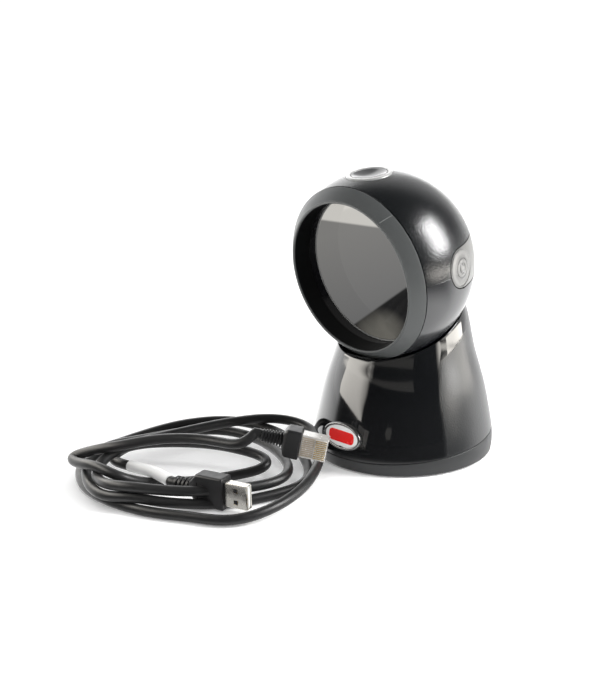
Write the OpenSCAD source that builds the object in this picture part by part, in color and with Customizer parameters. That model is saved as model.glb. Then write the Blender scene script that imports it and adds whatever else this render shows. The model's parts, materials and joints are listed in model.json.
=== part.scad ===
// Desktop omnidirectional presentation scanner: a ball head that nods on a
// steel yoke in a bell-shaped weighted base, with its detached interface lead.
// Origin: centre of the underside of the base. +Z up, the window faces -Y.

/* [Head] */
// Diameter of the ball head
ball_d = 93.6; // [90:0.2:96]
// Height of the ball centre above the table
ball_z = 100.7; // [100:0.1:103]
// Distance of the ball centre in front of the base centre
ball_fwd = 16.7; // [15:0.1:18]
// Wall thickness of the two head shells
head_wall = 2.4; // [2.2:0.1:2.6]
// Downward nod of the head at rest, in degrees
head_nod = 9.4; // [5:0.1:12]
// Height of the split between the head shells, above the head axis
split_h = 0.5; // [0.3:0.1:0.8]

/* [Window bezel] */
// Distance of the bezel seam in front of the ball centre
seam_u = 16.1; // [15.8:0.1:16.4]
// Distance of the front rim in front of the ball centre
rim_u = 22.7; // [22:0.1:23.5]
// Outer radius of the front rim
rim_r = 38.7; // [38.5:0.1:39]
// Inner radius of the front rim
rim_in_r = 37.35; // [37:0.05:37.4]
// Distance of the window's face in front of the ball centre
window_u = 6.66; // [6.2:0.02:7]
// Radius of the window
window_r = 38.2; // [38:0.1:38.3]
// Thickness of the window
window_t = 2; // [1.6:0.1:2.2]

/* [Top button] */
// Outer radius of the bright ring
ring_r = 11.35; // [11:0.05:11.5]
// Radius of the dished button
button_r = 9.05; // [8.8:0.05:9.1]

/* [Rear band] */
// Half width of the band round the back of the head
band_hw = 9.7; // [9:0.1:10]
// Radius of the round side caps
cap_r = 9.5; // [9:0.1:9.6]
// Angle of the side caps behind the head's side axis
cap_back = 10.5; // [8:0.5:12]

/* [Base] */
// Radius of the foot ring at the table
foot_r = 46.5; // [46:0.1:47]
// Height of the foot ring at the middle
foot_h = 10.4; // [10:0.1:11]
// Rise of the foot ring towards the rear, in degrees
foot_rake = 4.5; // [3:0.1:5]
// Backward lean of the bell, in degrees
bell_lean = 2.22; // [1.5:0.02:3]
// Wall thickness of the bell
bell_wall = 2.4; // [2:0.1:2.8]
// Gap between the ball and its cup
cup_gap = 1.1; // [0.9:0.1:1.4]
// Height of the rear edge of the cup
cup_top = 87; // [80:1:88]

/* [Yoke] */
// Angle of the yoke behind the vertical
yoke_back = 40; // [38:1:42]
// Half width of the yoke over its arms
yoke_hw = 35; // [34.8:0.1:35.1]
// Radius of the tilt pins
pin_r = 1.5; // [1.4:0.05:1.6]

/* [Badge] */
// Half width of the oval badge
badge_a = 12.05; // [11:0.05:12.5]
// Half height of the oval badge
badge_b = 6.85; // [6:0.05:7]
// Height of the badge centre
badge_z = 17.6; // [17:0.1:19]

/* [Lead] */
// Diameter of the lead's jacket
lead_d = 5; // [4.6:0.1:5]
// Radius of the coiled lead
coil_r = 60.5; // [60:0.1:61]
// Turns in the coil
coil_turns = 3; // [3:1:3]

/* [Hidden] */
ball_r = ball_d / 2;
shell_in_r = ball_r - head_wall;
cup_r = ball_r + cup_gap;
band_floor_r = ball_r - 1.45;
pin_hole_r = pin_r + 0.05;
far = 60; // reach of the cutting solids
$fn = 96;

// ---------- frames ----------
module at_ball() translate([0, -ball_fwd, ball_z]) children();
// head frame: origin at the ball centre, -Y is where the head looks, +Z its crown
module head() at_ball() rotate([head_nod, 0, 0]) children();
// view frame, inside the head frame: +Z runs forward along the view axis, +Y up
module fwd() rotate([90, 0, 0]) children();
// yoke frame: origin at the ball centre, -Z runs down the yoke's stem
module yoke() at_ball() rotate([yoke_back, 0, 0]) children();
// bell frame: the bell's own leaning axis
module bell() translate([0, 0.3, 0]) rotate([-bell_lean, 0, 0]) children();
// turns +Z to +X
module along_x() rotate([0, 90, 0]) children();

// ---------- shared shapes ----------
module rod(z, radius, length) translate([0, 0, z]) cylinder(r = radius, h = length);
module box(corner, size) translate(corner) cube(size);

// copies turned about Z, each at a distance from it
module around(angles, distance = 0)
  for (a = angles) rotate([0, 0, a]) translate([distance, 0, 0]) children();

// screw along Z; shank, cap and hex socket are each [start, radius, length]
module screw(shank, cap, shank_sides = 24) {
  rod(shank[0], shank[1], shank[2], $fn = shank_sides);
  rod(cap[0], cap[1], cap[2], $fn = 32);
}
module socket_screw(shank, cap, hex) difference() {
  screw(shank, cap, 32);
  rod(hex[0], hex[1], hex[2], $fn = 6);
}

// closed skin over a row of rings that have equally many points
module ring_skin(rings) {
  last = len(rings) - 1;
  sides = len(rings[0]);
  polyhedron(points = [for (ring = rings) each ring], faces = concat(
    [[for (j = [sides - 1 : -1 : 0]) j]],
    [for (i = [0 : last - 1]) for (j = [0 : sides - 1]) let (k = (j + 1) % sides)
      [i * sides + j, i * sides + k, (i + 1) * sides + k, (i + 1) * sides + j]],
    [[for (j = [0 : sides - 1]) last * sides + j]]));
}

// ---------- head shells ----------
upper_screw_angles = [45, 135];
lower_screw_angles = [-45, -135];
head_screw_r = 41.9; // distance of the head screws from the view axis
cap_z = 2.1;         // height of the side caps' axes
band_z = 1.9;        // height of the band's middle
tongue_x = 14;
tongue_w = 9;
tongue_y = 37.2;

// ball in the head frame whose poles stay upright
module ball(radius, facets = 180) rotate([-head_nod, 0, 0]) sphere(r = radius, $fn = facets);
// distance to the ball's surface along a line this far from its centre
function ball_reach(offset) = sqrt(ball_r * ball_r - offset * offset);

module head_screw_places(angles) fwd() around(angles, head_screw_r) children();
module cap_axes() around([180 - cap_back, cap_back]) translate([0, 0, cap_z]) along_x() children();

// straight band round the back of the ball, with round ends on the side caps' axes
module band_zone(grow = 0) {
  box([-far, ball_r * sin(cap_back) - grow, band_z - band_hw - grow],
      [2 * far, far, 2 * band_hw + 2 * grow]);
  cap_axes() rod(0, cap_r + grow, far);
}

// radial blocks behind the shroud's flange
module screw_bosses(angles) for (a = angles) fwd() rotate([0, 0, a]) difference() {
  intersection() {
    box([36.9, -3.2, -7], [12, 6.4, 9.7]);
    rotate([0, 0, -a]) rotate([-90, 0, 0]) ball(ball_r - 0.8, 120);
  }
  translate([head_screw_r, 0, 0]) rod(-5, 1.15, 20, $fn = 32);
}

module head_skin() difference() {
  ball(ball_r);
  ball(shell_in_r);
  fwd() rod(seam_u, far, far);
  // seat of the rear band
  difference() {
    band_zone(0.14);
    ball(band_floor_r);
    fwd() rod(seam_u - 4, far, far);
  }
}

module head_upper_shell() color("#15171a") head() difference() {
  union() {
    difference() {
      head_skin();
      box([-far, -far, split_h - far], [2 * far, 2 * far, far]);
    }
    screw_bosses(upper_screw_angles);
    // collar that guides the button
    intersection() {
      rod(41.3, 13.6, 6);
      ball(ball_r - 0.6, 120);
    }
    // two posts for the switch board
    switch_posts() rod(36.6, 2.2, 6, $fn = 32);
  }
  rod(30, ring_r - 0.75, 20);
  rod(43.2, ring_r + 0.14, 20);
  switch_posts() rod(34, 0.85, 7.4, $fn = 24);
}

module head_lower_shell() color("#0d0e10") head() difference() {
  union() {
    difference() {
      head_skin();
      box([-65, -64, split_h - 0.05], [130, 128, 55]);
    }
    screw_bosses(lower_screw_angles);
    // tongues that reach up inside the upper shell at the rear, and their roots
    for (x = [-tongue_x, tongue_x]) {
      intersection() {
        box([x - tongue_w / 2, tongue_y, split_h - 6], [tongue_w, 8, 13]);
        ball(shell_in_r - 0.2, 120);
      }
      intersection() {
        box([x - tongue_w / 2, tongue_y, split_h - 6], [tongue_w, 10, 5.95]);
        ball(ball_r - 1.7, 120);
      }
    }
  }
  // slot the yoke's stem passes through, long enough for the full nod
  rotate([yoke_back - head_nod, 0, 0]) intersection() {
    box([-8.7, -far, -far], [17.4, 2 * far, far]);
    rotate([-18, 0, 0]) box([-10, -0.01, -far], [20, far, far]);
    rotate([23, 0, 0]) box([-10, -far, -far], [20, far + 0.01, far]);
  }
}

module rear_band() color("#26282b") head() difference() {
  intersection() {
    difference() {
      ball(ball_r - 0.02);
      ball(band_floor_r + 0.06);
    }
    band_zone();
  }
  // seats of the side caps
  cap_axes() rod(ball_r - 2.6, cap_r - 0.42, far);
}

function cap_face(radius) = ball_reach(radius) - 0.06;
// round groove in a cap's face, inwards from its outer radius
function cap_groove(outer) = [
  [outer, cap_face(outer)], [outer - 0.2, cap_face(outer - 0.2) - 0.3],
  [outer - 0.4, cap_face(outer - 0.4) - 0.3], [outer - 0.6, cap_face(outer - 0.6)]];
module side_caps() color("#2a2c2f") head() cap_axes() rotate_extrude($fn = 96)
  let (edge = cap_r - 0.5, floor_z = band_floor_r + 0.1)
    polygon([[0, floor_z], [edge, floor_z], [edge, cap_face(edge)],
             each cap_groove(5.1), each cap_groove(2.6), [0, cap_face(0)]]);

// ---------- window, bezel and shroud ----------
bezel_back_u = 12.5;
sleeve_r = 41.1;   // inner radius of the shroud's step and outer radius of the bezel's skirt
flange_u = 2.75;   // back of the shroud's flange
cheek_x = 36.95;   // inner faces of the cheeks
cheek_t = 2.45;
window_back_u = window_u - window_t;
window_seat_u = window_back_u - 0.65;
pocket_r = window_r + 0.08;
thirds = [90, 210, 330];
post_r = 27.5;     // distance of the lighting board's posts from the view axis
pad_screw_r = 32.6; // distance of the screws in the shroud's pads

module window_bezel() color("#4b4e51") head() fwd() rotate_extrude($fn = 180)
  polygon([[rim_in_r, bezel_back_u], [sleeve_r, bezel_back_u], [sleeve_r, seam_u + 0.45],
           [ball_reach(seam_u) - 0.45, seam_u + 0.45], [rim_r + 0.05, rim_u - 0.12],
           [rim_r - 0.2, rim_u], [rim_in_r + 0.2, rim_u], [rim_in_r, rim_u - 0.2]]);

module inner_shroud() color("#101113") head() difference() {
  union() {
    fwd() rotate_extrude($fn = 180)
      polygon([[pocket_r, window_back_u], [pocket_r, bezel_back_u - 0.05],
               [sleeve_r, bezel_back_u - 0.05], [sleeve_r, 4.1], [43.4, 4.1],
               [43.4, flange_u], [36.8, flange_u], [36.8, window_seat_u],
               [pocket_r, window_seat_u]]);
    // cheeks that carry the tilt pins
    for (x = [-cheek_x - cheek_t, cheek_x]) box([x, -3, -5.5], [cheek_t, 8.5, 11]);
    // pads for the board standoffs
    fwd() around(thirds) box([30.5, -3, flange_u], [7.5, 6, 1.2]);
  }
  along_x() for (x = [-41, 36]) rod(x, pin_hole_r, 5, $fn = 32);
  head_screw_places(concat(upper_screw_angles, lower_screw_angles)) {
    rod(2, 1.3, 5, $fn = 32);
    rod(4.14, 1.85, 9, $fn = 32);
  }
  fwd() around(thirds, pad_screw_r) rod(2, 0.85, 5, $fn = 24);
  // room for the button's collar
  box([-15, -14, 40.8], [30, 17, 6]);
}

module window() color("#1a1c1f") head() fwd() rod(window_back_u, window_r, window_t, $fn = 180);

module window_gasket() color("#08090a") head() fwd() difference() {
  rod(window_back_u - 0.62, window_r, 0.6, $fn = 180);
  rod(0, 36.9, 10, $fn = 180);
}

module head_screws() color("#8a8c8e") head()
  head_screw_places(concat(upper_screw_angles, lower_screw_angles))
    socket_screw([-4.8, 1.1, 8.95], [4.15, 1.7, 1.3], [4.9, 0.9, 2]);

// ---------- top button ----------
ring_bottom_z = 43.25;
ring_in_r = button_r + 0.15;
button_edge_z = 46.05;
dish_r = 22;
switch_board_z = 34.9;
switch_board_t = 1.6;
switch_z = switch_board_z + switch_board_t + 0.02;
spring_x = 7;
spring_r = 1.9;
spring_wire_r = 0.28;
spring_h = 5.34;
spring_turns = 4;
spring_seg = 14;   // rings in each turn
spring_sides = 6;

module switch_posts() for (x = [-12.5, 12.5]) translate([x, 6, 0]) children();

module button_ring() color("#d5d7d8") head() rotate_extrude($fn = 144)
  polygon([[ring_in_r, ring_bottom_z], [ring_r, ring_bottom_z], [ring_r, 45.55],
           [ring_r - 0.55, 46.15], [button_r + 0.65, 46.3], [ring_in_r, 46.0]]);

module button_cap() color("#232528") head() difference() {
  union() {
    rod(43.0, button_r, 2.75, $fn = 144);
    rotate_extrude($fn = 144)
      polygon([[0, 45.7], [button_r, 45.7], [button_r - 0.3, button_edge_z], [0, button_edge_z]]);
    // flange, then the plunger over the switch
    rod(41.9, ring_r - 0.85, 1.25, $fn = 144);
    rod(41.0, 1.6, 2, $fn = 48);
  }
  translate([0, 0, 44.2 + dish_r]) sphere(r = dish_r, $fn = 144);
}

// two small coil springs under the button's flange
module coil_spring() {
  last = spring_seg * spring_turns;
  ring_skin([for (i = [0 : last])
    let (z = switch_z + 0.3 + (spring_h - 0.6) * i / last, turn = i * 360 / spring_seg)
      [for (j = [0 : spring_sides - 1])
        let (angle = j * 360 / spring_sides, radius = spring_r + spring_wire_r * cos(angle))
          [radius * cos(turn), radius * sin(turn), z + spring_wire_r * sin(angle)]]]);
}
module button_spring() color("#b9bbbd") head()
  for (x = [-spring_x, spring_x]) translate([x, 0, 0]) coil_spring();

module button_board() color("#1f6b3a") head() difference() {
  box([-15, -2.6, switch_board_z], [30, 12.6, switch_board_t]);
  switch_posts() rod(30, 1.1, 10, $fn = 24);
}

module button_switch() color("#3a3c3e") head() {
  box([-2.5, -2.5, switch_z], [5, 5, 2.7]);
  rod(switch_z + 2.7, 1.6, 0.7, $fn = 32);
}

module button_board_screws() color("#8a8c8e") head()
  switch_posts() screw([34.85, 0.8, 6.2], [33.7, 1.8, 1.15]);

// ---------- tilt hinge and yoke ----------
arm_t = 2;
arm_r = 3.9;       // half the width of the arms and crossbar
arm_bottom = -23.5;
washer_gap = 0.05;

module pin_axes() around([180, 0]) along_x() children();

module tilt_pins() color("#a9abad") head() pin_axes() {
  rod(32.5, pin_r, 6.95, $fn = 48);
  rod(cheek_x + cheek_t + 0.05, 2.6, 1.6, $fn = 48);
}

module friction_washers() color("#0f0f10") head() pin_axes() difference() {
  rod(yoke_hw + washer_gap, 2.65, cheek_x - yoke_hw - 2 * washer_gap, $fn = 64);
  rod(30, pin_r + 0.1, 10, $fn = 48);
}

module yoke_screw_places() for (x = [-10, 10], y = [-5, 5]) translate([x, y, 0]) children();

module neck_yoke() color("#77797c") yoke() {
  difference() {
    // arms
    for (x = [-yoke_hw, yoke_hw - arm_t]) {
      along_x() rod(x, arm_r, arm_t, $fn = 64);
      box([x, -arm_r, arm_bottom], [arm_t, 2 * arm_r, -arm_bottom]);
    }
    along_x() for (x = [-40, 30]) rod(x, pin_hole_r, 10, $fn = 48);
  }
  // crossbar, stem and foot plate
  box([-yoke_hw, -arm_r, arm_bottom], [2 * yoke_hw, 2 * arm_r, arm_t]);
  box([-8, -1.5, -54], [16, 3, 31]);
  difference() {
    box([-13, -8, -55.4], [26, 16, 2]);
    yoke_screw_places() rod(-60, 1.35, 10, $fn = 32);
  }
}

module yoke_screws() color("#8a8c8e") yoke() yoke_screw_places()
  socket_screw([-55.45, 1.1, 5.2], [-56.95, 2.2, 1.5], [-58, 0.9, 1.8]);

// ---------- optics and boards in the head ----------
led_u = -0.48;     // back of the LEDs
aimer_y = 15.5;

module main_posts() for (x = [-21, 21], y = [14, -5]) translate([x, y, 0]) children();

module illumination_board() color("#1d5a34") head() fwd() difference() {
  rod(-1.9, 30, 1.4, $fn = 96);
  rod(-5, 8.4, 10);
  translate([0, aimer_y, 0]) rod(-5, 3.4, 10, $fn = 48);
  around(thirds, post_r) rod(-5, 1.2, 10, $fn = 24);
}

module illumination_leds() color("#f3f1e6") head() fwd()
  around([30, 150, 210, 270, 330], 17) translate([0, 0, led_u]) {
    box([-1.8, -1.8, 0], [3.6, 3.6, 0.9]);
    intersection() {
      translate([0, 0, 0.9]) sphere(r = 1.5, $fn = 32);
      box([-2, -2, 0.85], [4, 4, 2]);
    }
  }

module status_leds() color("#7fc7e8") head() fwd()
  for (x = [-5, 5]) box([x - 0.8, 24 - 0.8, led_u], [1.6, 1.6, 0.8]);

module engine_housing() color("#2b2d30") head() fwd() difference() {
  box([-14, -10, -11.9], [28, 20, 9.9]);
  box([-11, -8, -11.95], [22, 16, 6]);
  rod(-12, 6.3, 20);
}

module lens_barrel() color("#1a1b1d") head() fwd() difference() {
  union() {
    rod(-8.6, 6.2, 8.4);
    rod(-1.9, 7.4, 1.8);
  }
  rod(-9, 4, 10, $fn = 64);
  rod(-2.2, 4.9, 10, $fn = 64);
}

module lens() color("#9fb7c4") head() fwd() intersection() {
  rod(-2.15, 4.85, 3, $fn = 64);
  translate([0, 0, -11.4]) sphere(r = 11, $fn = 96);
}

module image_sensor() color("#2c3947") head() fwd() box([-4.5, -3.5, -11.4], [9, 7, 1.4]);

module aimer_module() color("#3d3f41") head() fwd() translate([0, aimer_y, 0]) difference() {
  rod(-11.85, 3.2, 11.85, $fn = 48);
  rod(-1.2, 1.8, 3, $fn = 32);
}

module main_board() color("#1f6b3a") head() fwd() difference() {
  box([-25, -9, -13.6], [50, 33, 1.6]);
  main_posts() rod(-20, 1.2, 20, $fn = 24);
}

module board_chips() color("#1b1b1d") head() fwd() {
  box([-7, 0, -15.2], [14, 14, 1.55]);
  box([-20, 2, -14.9], [9, 7, 1.25]);
  box([11, 4, -14.9], [7, 9, 1.25]);
  box([-8, -7.5, -16.6], [16, 4.5, 2.95]);
}

module board_standoffs() color("#c9b26a") head() fwd() {
  // three posts from the shroud to the lighting board
  around(thirds) difference() {
    union() {
      translate([post_r, 0, 0]) rod(-0.45, 2, 3.1, $fn = 32);
      box([post_r, -1.6, 1.55], [6.8, 3.2, 1.15]);
    }
    translate([post_r, 0, 0]) rod(-2, 0.85, 3.4, $fn = 24);
    translate([pad_screw_r, 0, 0]) rod(0, 0.85, 4, $fn = 24);
  }
  // four posts from the lighting board to the main board
  main_posts() difference() {
    rod(-11.95, 2, 10, $fn = 32);
    rod(-12.95, 0.85, 5, $fn = 24);
  }
}

module board_screws() color("#8a8c8e") head() fwd() {
  main_posts() screw([-13.65, 0.8, 4.9], [-14.8, 1.8, 1.15]);
  around(thirds, post_r) screw([-1.95, 0.8, 3.0], [-3.1, 1.8, 1.15]);
  around(thirds, pad_screw_r) screw([1.5, 0.8, 2.3], [0.35, 1.7, 1.15]);
}

// ---------- base ----------
bell_top = 92;
// outline of the bell in its own frame: [radius beyond foot_r, height]
bell_stations = [
  [0, 0], [0.85, 5.5], [0.75, 12], [-1.65, 25], [-5.3, 39.5],
  [-10.5, 56], [-14.1, 70], [-17.1, 80], [-21.5, bell_top]];
base_screw_angles = [45 : 90 : 315];
base_screw_r = 38; // distance of the base screws from the centre
ballast_screw_r = 18;
ballast_angles = [210, 330];
plate_z = 1.3;     // underside of the bottom plate
plate_r = 44.3;
plate_top = 3.3;
inside_z = plate_top + 0.05; // underside of what stands on the plate
board_top = 10.05; // underside of what stands on the base board

// half outline of the bell, drawn in from its surface and carried down to a low end
module bell_outline(inset = 0, low = 0) polygon(concat(
  [[0, low]], low < 0 ? [[foot_r - inset - 0.4, low]] : [],
  [for (station = bell_stations) [foot_r + station[0] - inset, station[1]]],
  [[0, bell_top]]));
module bell_solid(inset = 0, low = 0)
  bell() rotate([0, 0, 90]) rotate_extrude($fn = 180) bell_outline(inset, low);

// raked plane at a height, for the seam between the bell and the foot ring
module seam_plane(z) translate([0, 0, z]) rotate([foot_rake, 0, 0]) children();

// post inside the wall, with a head that runs out into it, longer at the rear
module base_screw_post(angle) rotate([0, 0, angle]) {
  box([34, -3.6, 3.4], [9.1, 7.2, 19]);
  box([34, -3.6, 15.5], [angle < 180 ? 10.6 : 9.3, 7.2, 6.9]);
}

module base_shell() color("#111214") difference() {
  union() {
    difference() {
      intersection() {
        bell_solid();
        seam_plane(foot_h) box([-80, -80, 0], [160, 160, 140]);
        box([-far, -far, 0], [2 * far, 2 * far, cup_top]);
      }
      difference() {
        bell_solid(bell_wall, -1);
        at_ball() sphere(r = cup_r + 2.2, $fn = 180);
      }
      at_ball() sphere(r = cup_r, $fn = 180);
    }
    for (a = base_screw_angles) base_screw_post(a);
    // block under the cup that holds the yoke
    yoke() difference() {
      box([-14, -9, -53.35], [28, 18, 8]);
      sphere(r = cup_r + 0.5, $fn = 120);
    }
  }
  around(base_screw_angles, base_screw_r) rod(0, 1.3, 14, $fn = 32);
  // slot for the yoke's stem and holes for its screws
  yoke() box([-8.3, -1.8, -60], [16.6, 3.6, 30]);
  yoke() yoke_screw_places() rod(-56, 1.15, 6, $fn = 32);
  // seat of the badge
  badge_frame() badge_slab(-0.65, 6, 0.12);
}

module foot_ring() color("#3c3e41") difference() {
  intersection() {
    bell() rotate_extrude($fn = 180) bell_outline(0, -3);
    seam_plane(foot_h - 0.28) box([-80, -80, -60], [160, 160, 60]);
    box([-far, -far, 0.9], [2 * far, 2 * far, far]);
  }
  // hollow above the bottom plate, then the plate's seat
  rod(plate_top, 43.3, 30);
  rod(-1, plate_r + 0.1, plate_top + 1);
  // outlet for the lead at the back
  box([-7.4, 35, 4.2], [14.8, 30, 8.4]);
}

module bottom_plate() color("#1d1e20") difference() {
  union() {
    rod(plate_z, plate_r, plate_top - plate_z);
    around(base_screw_angles, base_screw_r) rod(3.2, 3, 0.15, $fn = 48);
  }
  around(base_screw_angles, base_screw_r) {
    rod(0, 1.6, 10, $fn = 32);
    rod(0, 3, 2.1, $fn = 32);
  }
  around(thirds, ballast_screw_r) rod(0, 1.6, 10, $fn = 32);
}

module rubber_pad() color("#0c0c0d") cylinder(r = plate_r - 0.1, h = plate_z - 0.05);

module base_screws() color("#8a8c8e") around(base_screw_angles, base_screw_r)
  socket_screw([2, 1.25, 10], [1.35, 2.8, 0.75], [1, 1, 0.8]);

module ballast_weight() color("#55585b") difference() {
  rod(inside_z, 33, 9);
  box([-18, 14, 0], [36, 30, 20]);
  around(ballast_angles, ballast_screw_r) rod(0, 1.6, 20, $fn = 32);
}

module ballast_screws() color("#8a8c8e") around(ballast_angles, ballast_screw_r) {
  rod(2, 1.5, 10.4, $fn = 32);
  rod(12.4, 3, 2, $fn = 6);
}

module base_board_places() for (x = [-13, 13]) translate([x, 19, 0]) children();

module base_board() color("#1f6b3a") difference() {
  box([-16, 15.5, 8.4], [32, 17.2, 1.6]);
  base_board_places() rod(0, 1.2, 20, $fn = 24);
}

// screws with the posts that hold the board off the plate
module base_board_screws() color("#8a8c8e") base_board_places() {
  screw([inside_z, 1.15, 6.75], [board_top, 2, 1.2]);
  rod(inside_z, 2.4, 5, $fn = 32);
}

module beeper() color("#1a1a1b") translate([-8, 24.5, board_top]) difference() {
  cylinder(r = 5, h = 4, $fn = 64);
  rod(3.2, 1, 3, $fn = 24);
}

// ten contacts at a pitch of 1, in the socket and in the plug
contact_places = [-4.5 : 1 : 4.5];
contact_w = 0.4;

module lead_socket() color("#202224") difference() {
  box([-7.2, 32.9, 3.6], [14.4, 9.5, 9.7]);
  box([-6.05, 34.2, 4.4], [12.1, 12, 8.05]);
}

module socket_contacts() color("#d8b45a")
  for (x = contact_places) box([x - contact_w / 2, 34.3, 4.45], [contact_w, 7, 0.3]);

// three upright wires with round tops
wire_r = 0.85;
wire_h = 32;
wire_pitch = 2.2;
module wire_harness() color("#24262a")
  for (i = [-1, 0, 1]) translate([8 + i * wire_pitch, 21.6, board_top]) {
    cylinder(r = wire_r, h = wire_h, $fn = 24);
    translate([0, 0, wire_h]) sphere(r = wire_r, $fn = 24);
  }

// ---------- badge on the front of the base ----------
label_w = 17;
label_h = 7;
label_corner = 1.2;

module badge_frame() translate([0, -44.6, badge_z]) rotate([83, 0, 0]) children();
module badge_slab(z, height, grow = 0) translate([0, 0, z]) linear_extrude(height = height)
  polygon([for (i = [0 : 95])
    [(badge_a + grow) * cos(i * 3.75), (badge_b + grow) * sin(i * 3.75)]]);

module badge_rim() color("#c9cbcd") badge_frame() difference() {
  hull() {
    badge_slab(-0.6, 1.1);
    badge_slab(0.5, 0.7, -1.05);
  }
  badge_slab(0.5, 5, -1.5);
}

module badge_plate() color("#f1f1ef") badge_frame() badge_slab(0.52, 0.5, -1.56);

// rectangle with round corners
module badge_label() color("#c1121b") badge_frame()
  translate([0, 0, 1.03]) linear_extrude(height = 0.15) {
    square([label_w, label_h - 2 * label_corner], center = true);
    square([label_w - 2 * label_corner, label_h], center = true);
    for (x = [-1, 1] * (label_w / 2 - label_corner), y = [-1, 1] * (label_h / 2 - label_corner))
      translate([x, y]) circle(r = label_corner, $fn = 32);
  }

// ---------- interface lead, coiled loose beside the base ----------
// plug frames: +X runs out of the plug, away from the lead
usb_turn = 15.6;
usb_at = [1.6, -115.9, 8.7];
usb_tail_x = -35;
rj_turn = 38;
rj_dip = 12;
rj_at = [4.7, -72.2, 21.5];
rj_tail_x = -24;
module usb_frame() translate(usb_at) rotate([0, 0, usb_turn]) children();
module rj_frame() translate(rj_at) rotate([0, 0, rj_turn]) rotate([0, rj_dip, 0]) children();

function turn_z(p, angle) =
  [p[0] * cos(angle) - p[1] * sin(angle), p[0] * sin(angle) + p[1] * cos(angle), p[2]];
function turn_y(p, angle) =
  [p[0] * cos(angle) + p[2] * sin(angle), p[1], -p[0] * sin(angle) + p[2] * cos(angle)];
function unit(v) = v / norm(v);

// directions from each plug into the lead, and the ends of the lead
usb_dir = turn_z([-1, 0, 0], usb_turn);
rj_dir = turn_z(turn_y([-1, 0, 0], rj_dip), rj_turn);
usb_tail = usb_at - usb_tail_x * usb_dir;
rj_tail = rj_at - rj_tail_x * rj_dir;

label_turn = -17;
label_dir = turn_z([-1, 0, 0], label_turn);
label_at = usb_tail + [-7, -1.2, -0.1];
label_len = 30;
label_margin = 3;  // straight lead beyond each end of the label

// flat coil wound inwards, clockwise from its +across side, in a turned coil frame;
// the first sixth of a turn comes down to the table, and later turns are
// flattened on the -across side
coil_frame_turn = 42;
coil_centre = [-101, -47];
coil_pitch = 5.9;
function coil_point(along, across, z) =
  let (q = turn_z([along, across, 0], coil_frame_turn)) [q[0], q[1], z];
function coil_at(turns) =
  let (angle = 90 - 360 * turns, shrink = coil_pitch * turns,
       low = turns < 1 ? coil_r - 1.5 - shrink : 26.3 - shrink,
       depth = sin(angle) > 0 ? coil_r - 3.5 - shrink : low)
    coil_point(coil_centre[0] + (coil_r - shrink) * cos(angle),
      coil_centre[1] + depth * sin(angle),
      lead_d / 2 + 0.05 + 6.4 * max(0, 1 - turns * 6));

// control points of the lead from the USB plug, through the label and coil, to the RJ plug
lead_ctrl = concat(
  [usb_tail, usb_tail + 3 * usb_dir],
  [for (k = [0, 0.34, 0.67, 1]) label_at + k * (label_len + 2 * label_margin) * label_dir],
  [coil_point(-140, -22, 8.9), coil_point(-136, -4, 9.2), coil_point(-121, 7, 9.2)],
  [for (t = [0 : 1/14 : coil_turns - 0.28]) coil_at(t)],
  [coil_point(-145.5, -43, 5.2), coil_point(-144.5, -34, 10), coil_point(-136, -30, 15),
   coil_point(-120, -34, 20), coil_point(-101, -42, 25)],
  [rj_tail + 8 * rj_dir, rj_tail + 3 * rj_dir, rj_tail]);

// Catmull-Rom curve from point i to the next, t from 0 to 1
function spline(p, i, t) =
  let (before = p[max(i - 1, 0)], start = p[i], end = p[i + 1],
       after = p[min(i + 2, len(p) - 1)])
    0.5 * (2 * start + (end - before) * t
      + (2 * before - 5 * start + 4 * end - after) * t * t
      + (3 * start - before - 3 * end + after) * t * t * t);
lead_path = concat(
  [for (i = [0 : len(lead_ctrl) - 2]) for (j = [0 : 2]) spline(lead_ctrl, i, j / 3)],
  [rj_tail]);
lead_sides = 10;

module lead_jacket() color("#17181a") {
  last = len(lead_path) - 1;
  ring_skin([for (i = [0 : last])
    let (dir = unit(i == 0 ? usb_dir : i == last ? -rj_dir : lead_path[i+1] - lead_path[i-1]),
         side = unit(cross(dir, [0, 0, 1])), up = cross(side, dir))
      [for (j = [0 : lead_sides - 1]) let (angle = j * 360 / lead_sides)
        lead_path[i] + lead_d / 2 * (cos(angle) * side + sin(angle) * up)]]);
}

module lead_label() color("#f4f4f2")
  translate(label_at) rotate([0, 0, label_turn]) rotate([0, -90, 0])
    translate([0, 0, label_margin]) difference() {
      cylinder(r = lead_d / 2 + 0.55, h = label_len, $fn = 64);
      rod(-1, lead_d / 2 + 0.22, label_len + 2, $fn = 64);
    }

// rounded block along X, from its half width and half height
module rounded_block(x0, x1, half_y, half_z, corner) hull()
  for (y = [-half_y + corner, half_y - corner], z = [-half_z + corner, half_z - corner])
    translate([x0, y, z]) along_x() cylinder(r = corner, h = x1 - x0, $fn = 24);

// ribbed sleeve along X, from its thin end at x0
module ribbed(x0, x1, thin_r, thick_r, ribs) translate([x0, 0, 0]) along_x()
  rotate_extrude($fn = 64) polygon(concat([[0, 0]],
    [for (i = [0 : ribs - 1])
      let (p = (x1 - x0) / ribs, radius = thin_r + (thick_r - thin_r) * (i + 0.5) / ribs)
        each [[radius, i * p], [radius, i * p + p * 0.55],
              [radius - 0.6, i * p + p * 0.6], [radius - 0.6, i * p + p * 0.95]]],
    [[thick_r, x1 - x0], [0, x1 - x0]]));

module usb_overmould() color("#1b1c1e") usb_frame() difference() {
  rounded_block(-25.5, -6.2, 4.2, 8, 1.6);
  for (y = [-4.3, 4.3]) box([-24.5, y - 0.25, -0.25], [16, 0.5, 0.5]);
}

module usb_strain_relief() color("#1b1c1e") usb_frame() ribbed(usb_tail_x, -25.52, 3.3, 4, 4);

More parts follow.
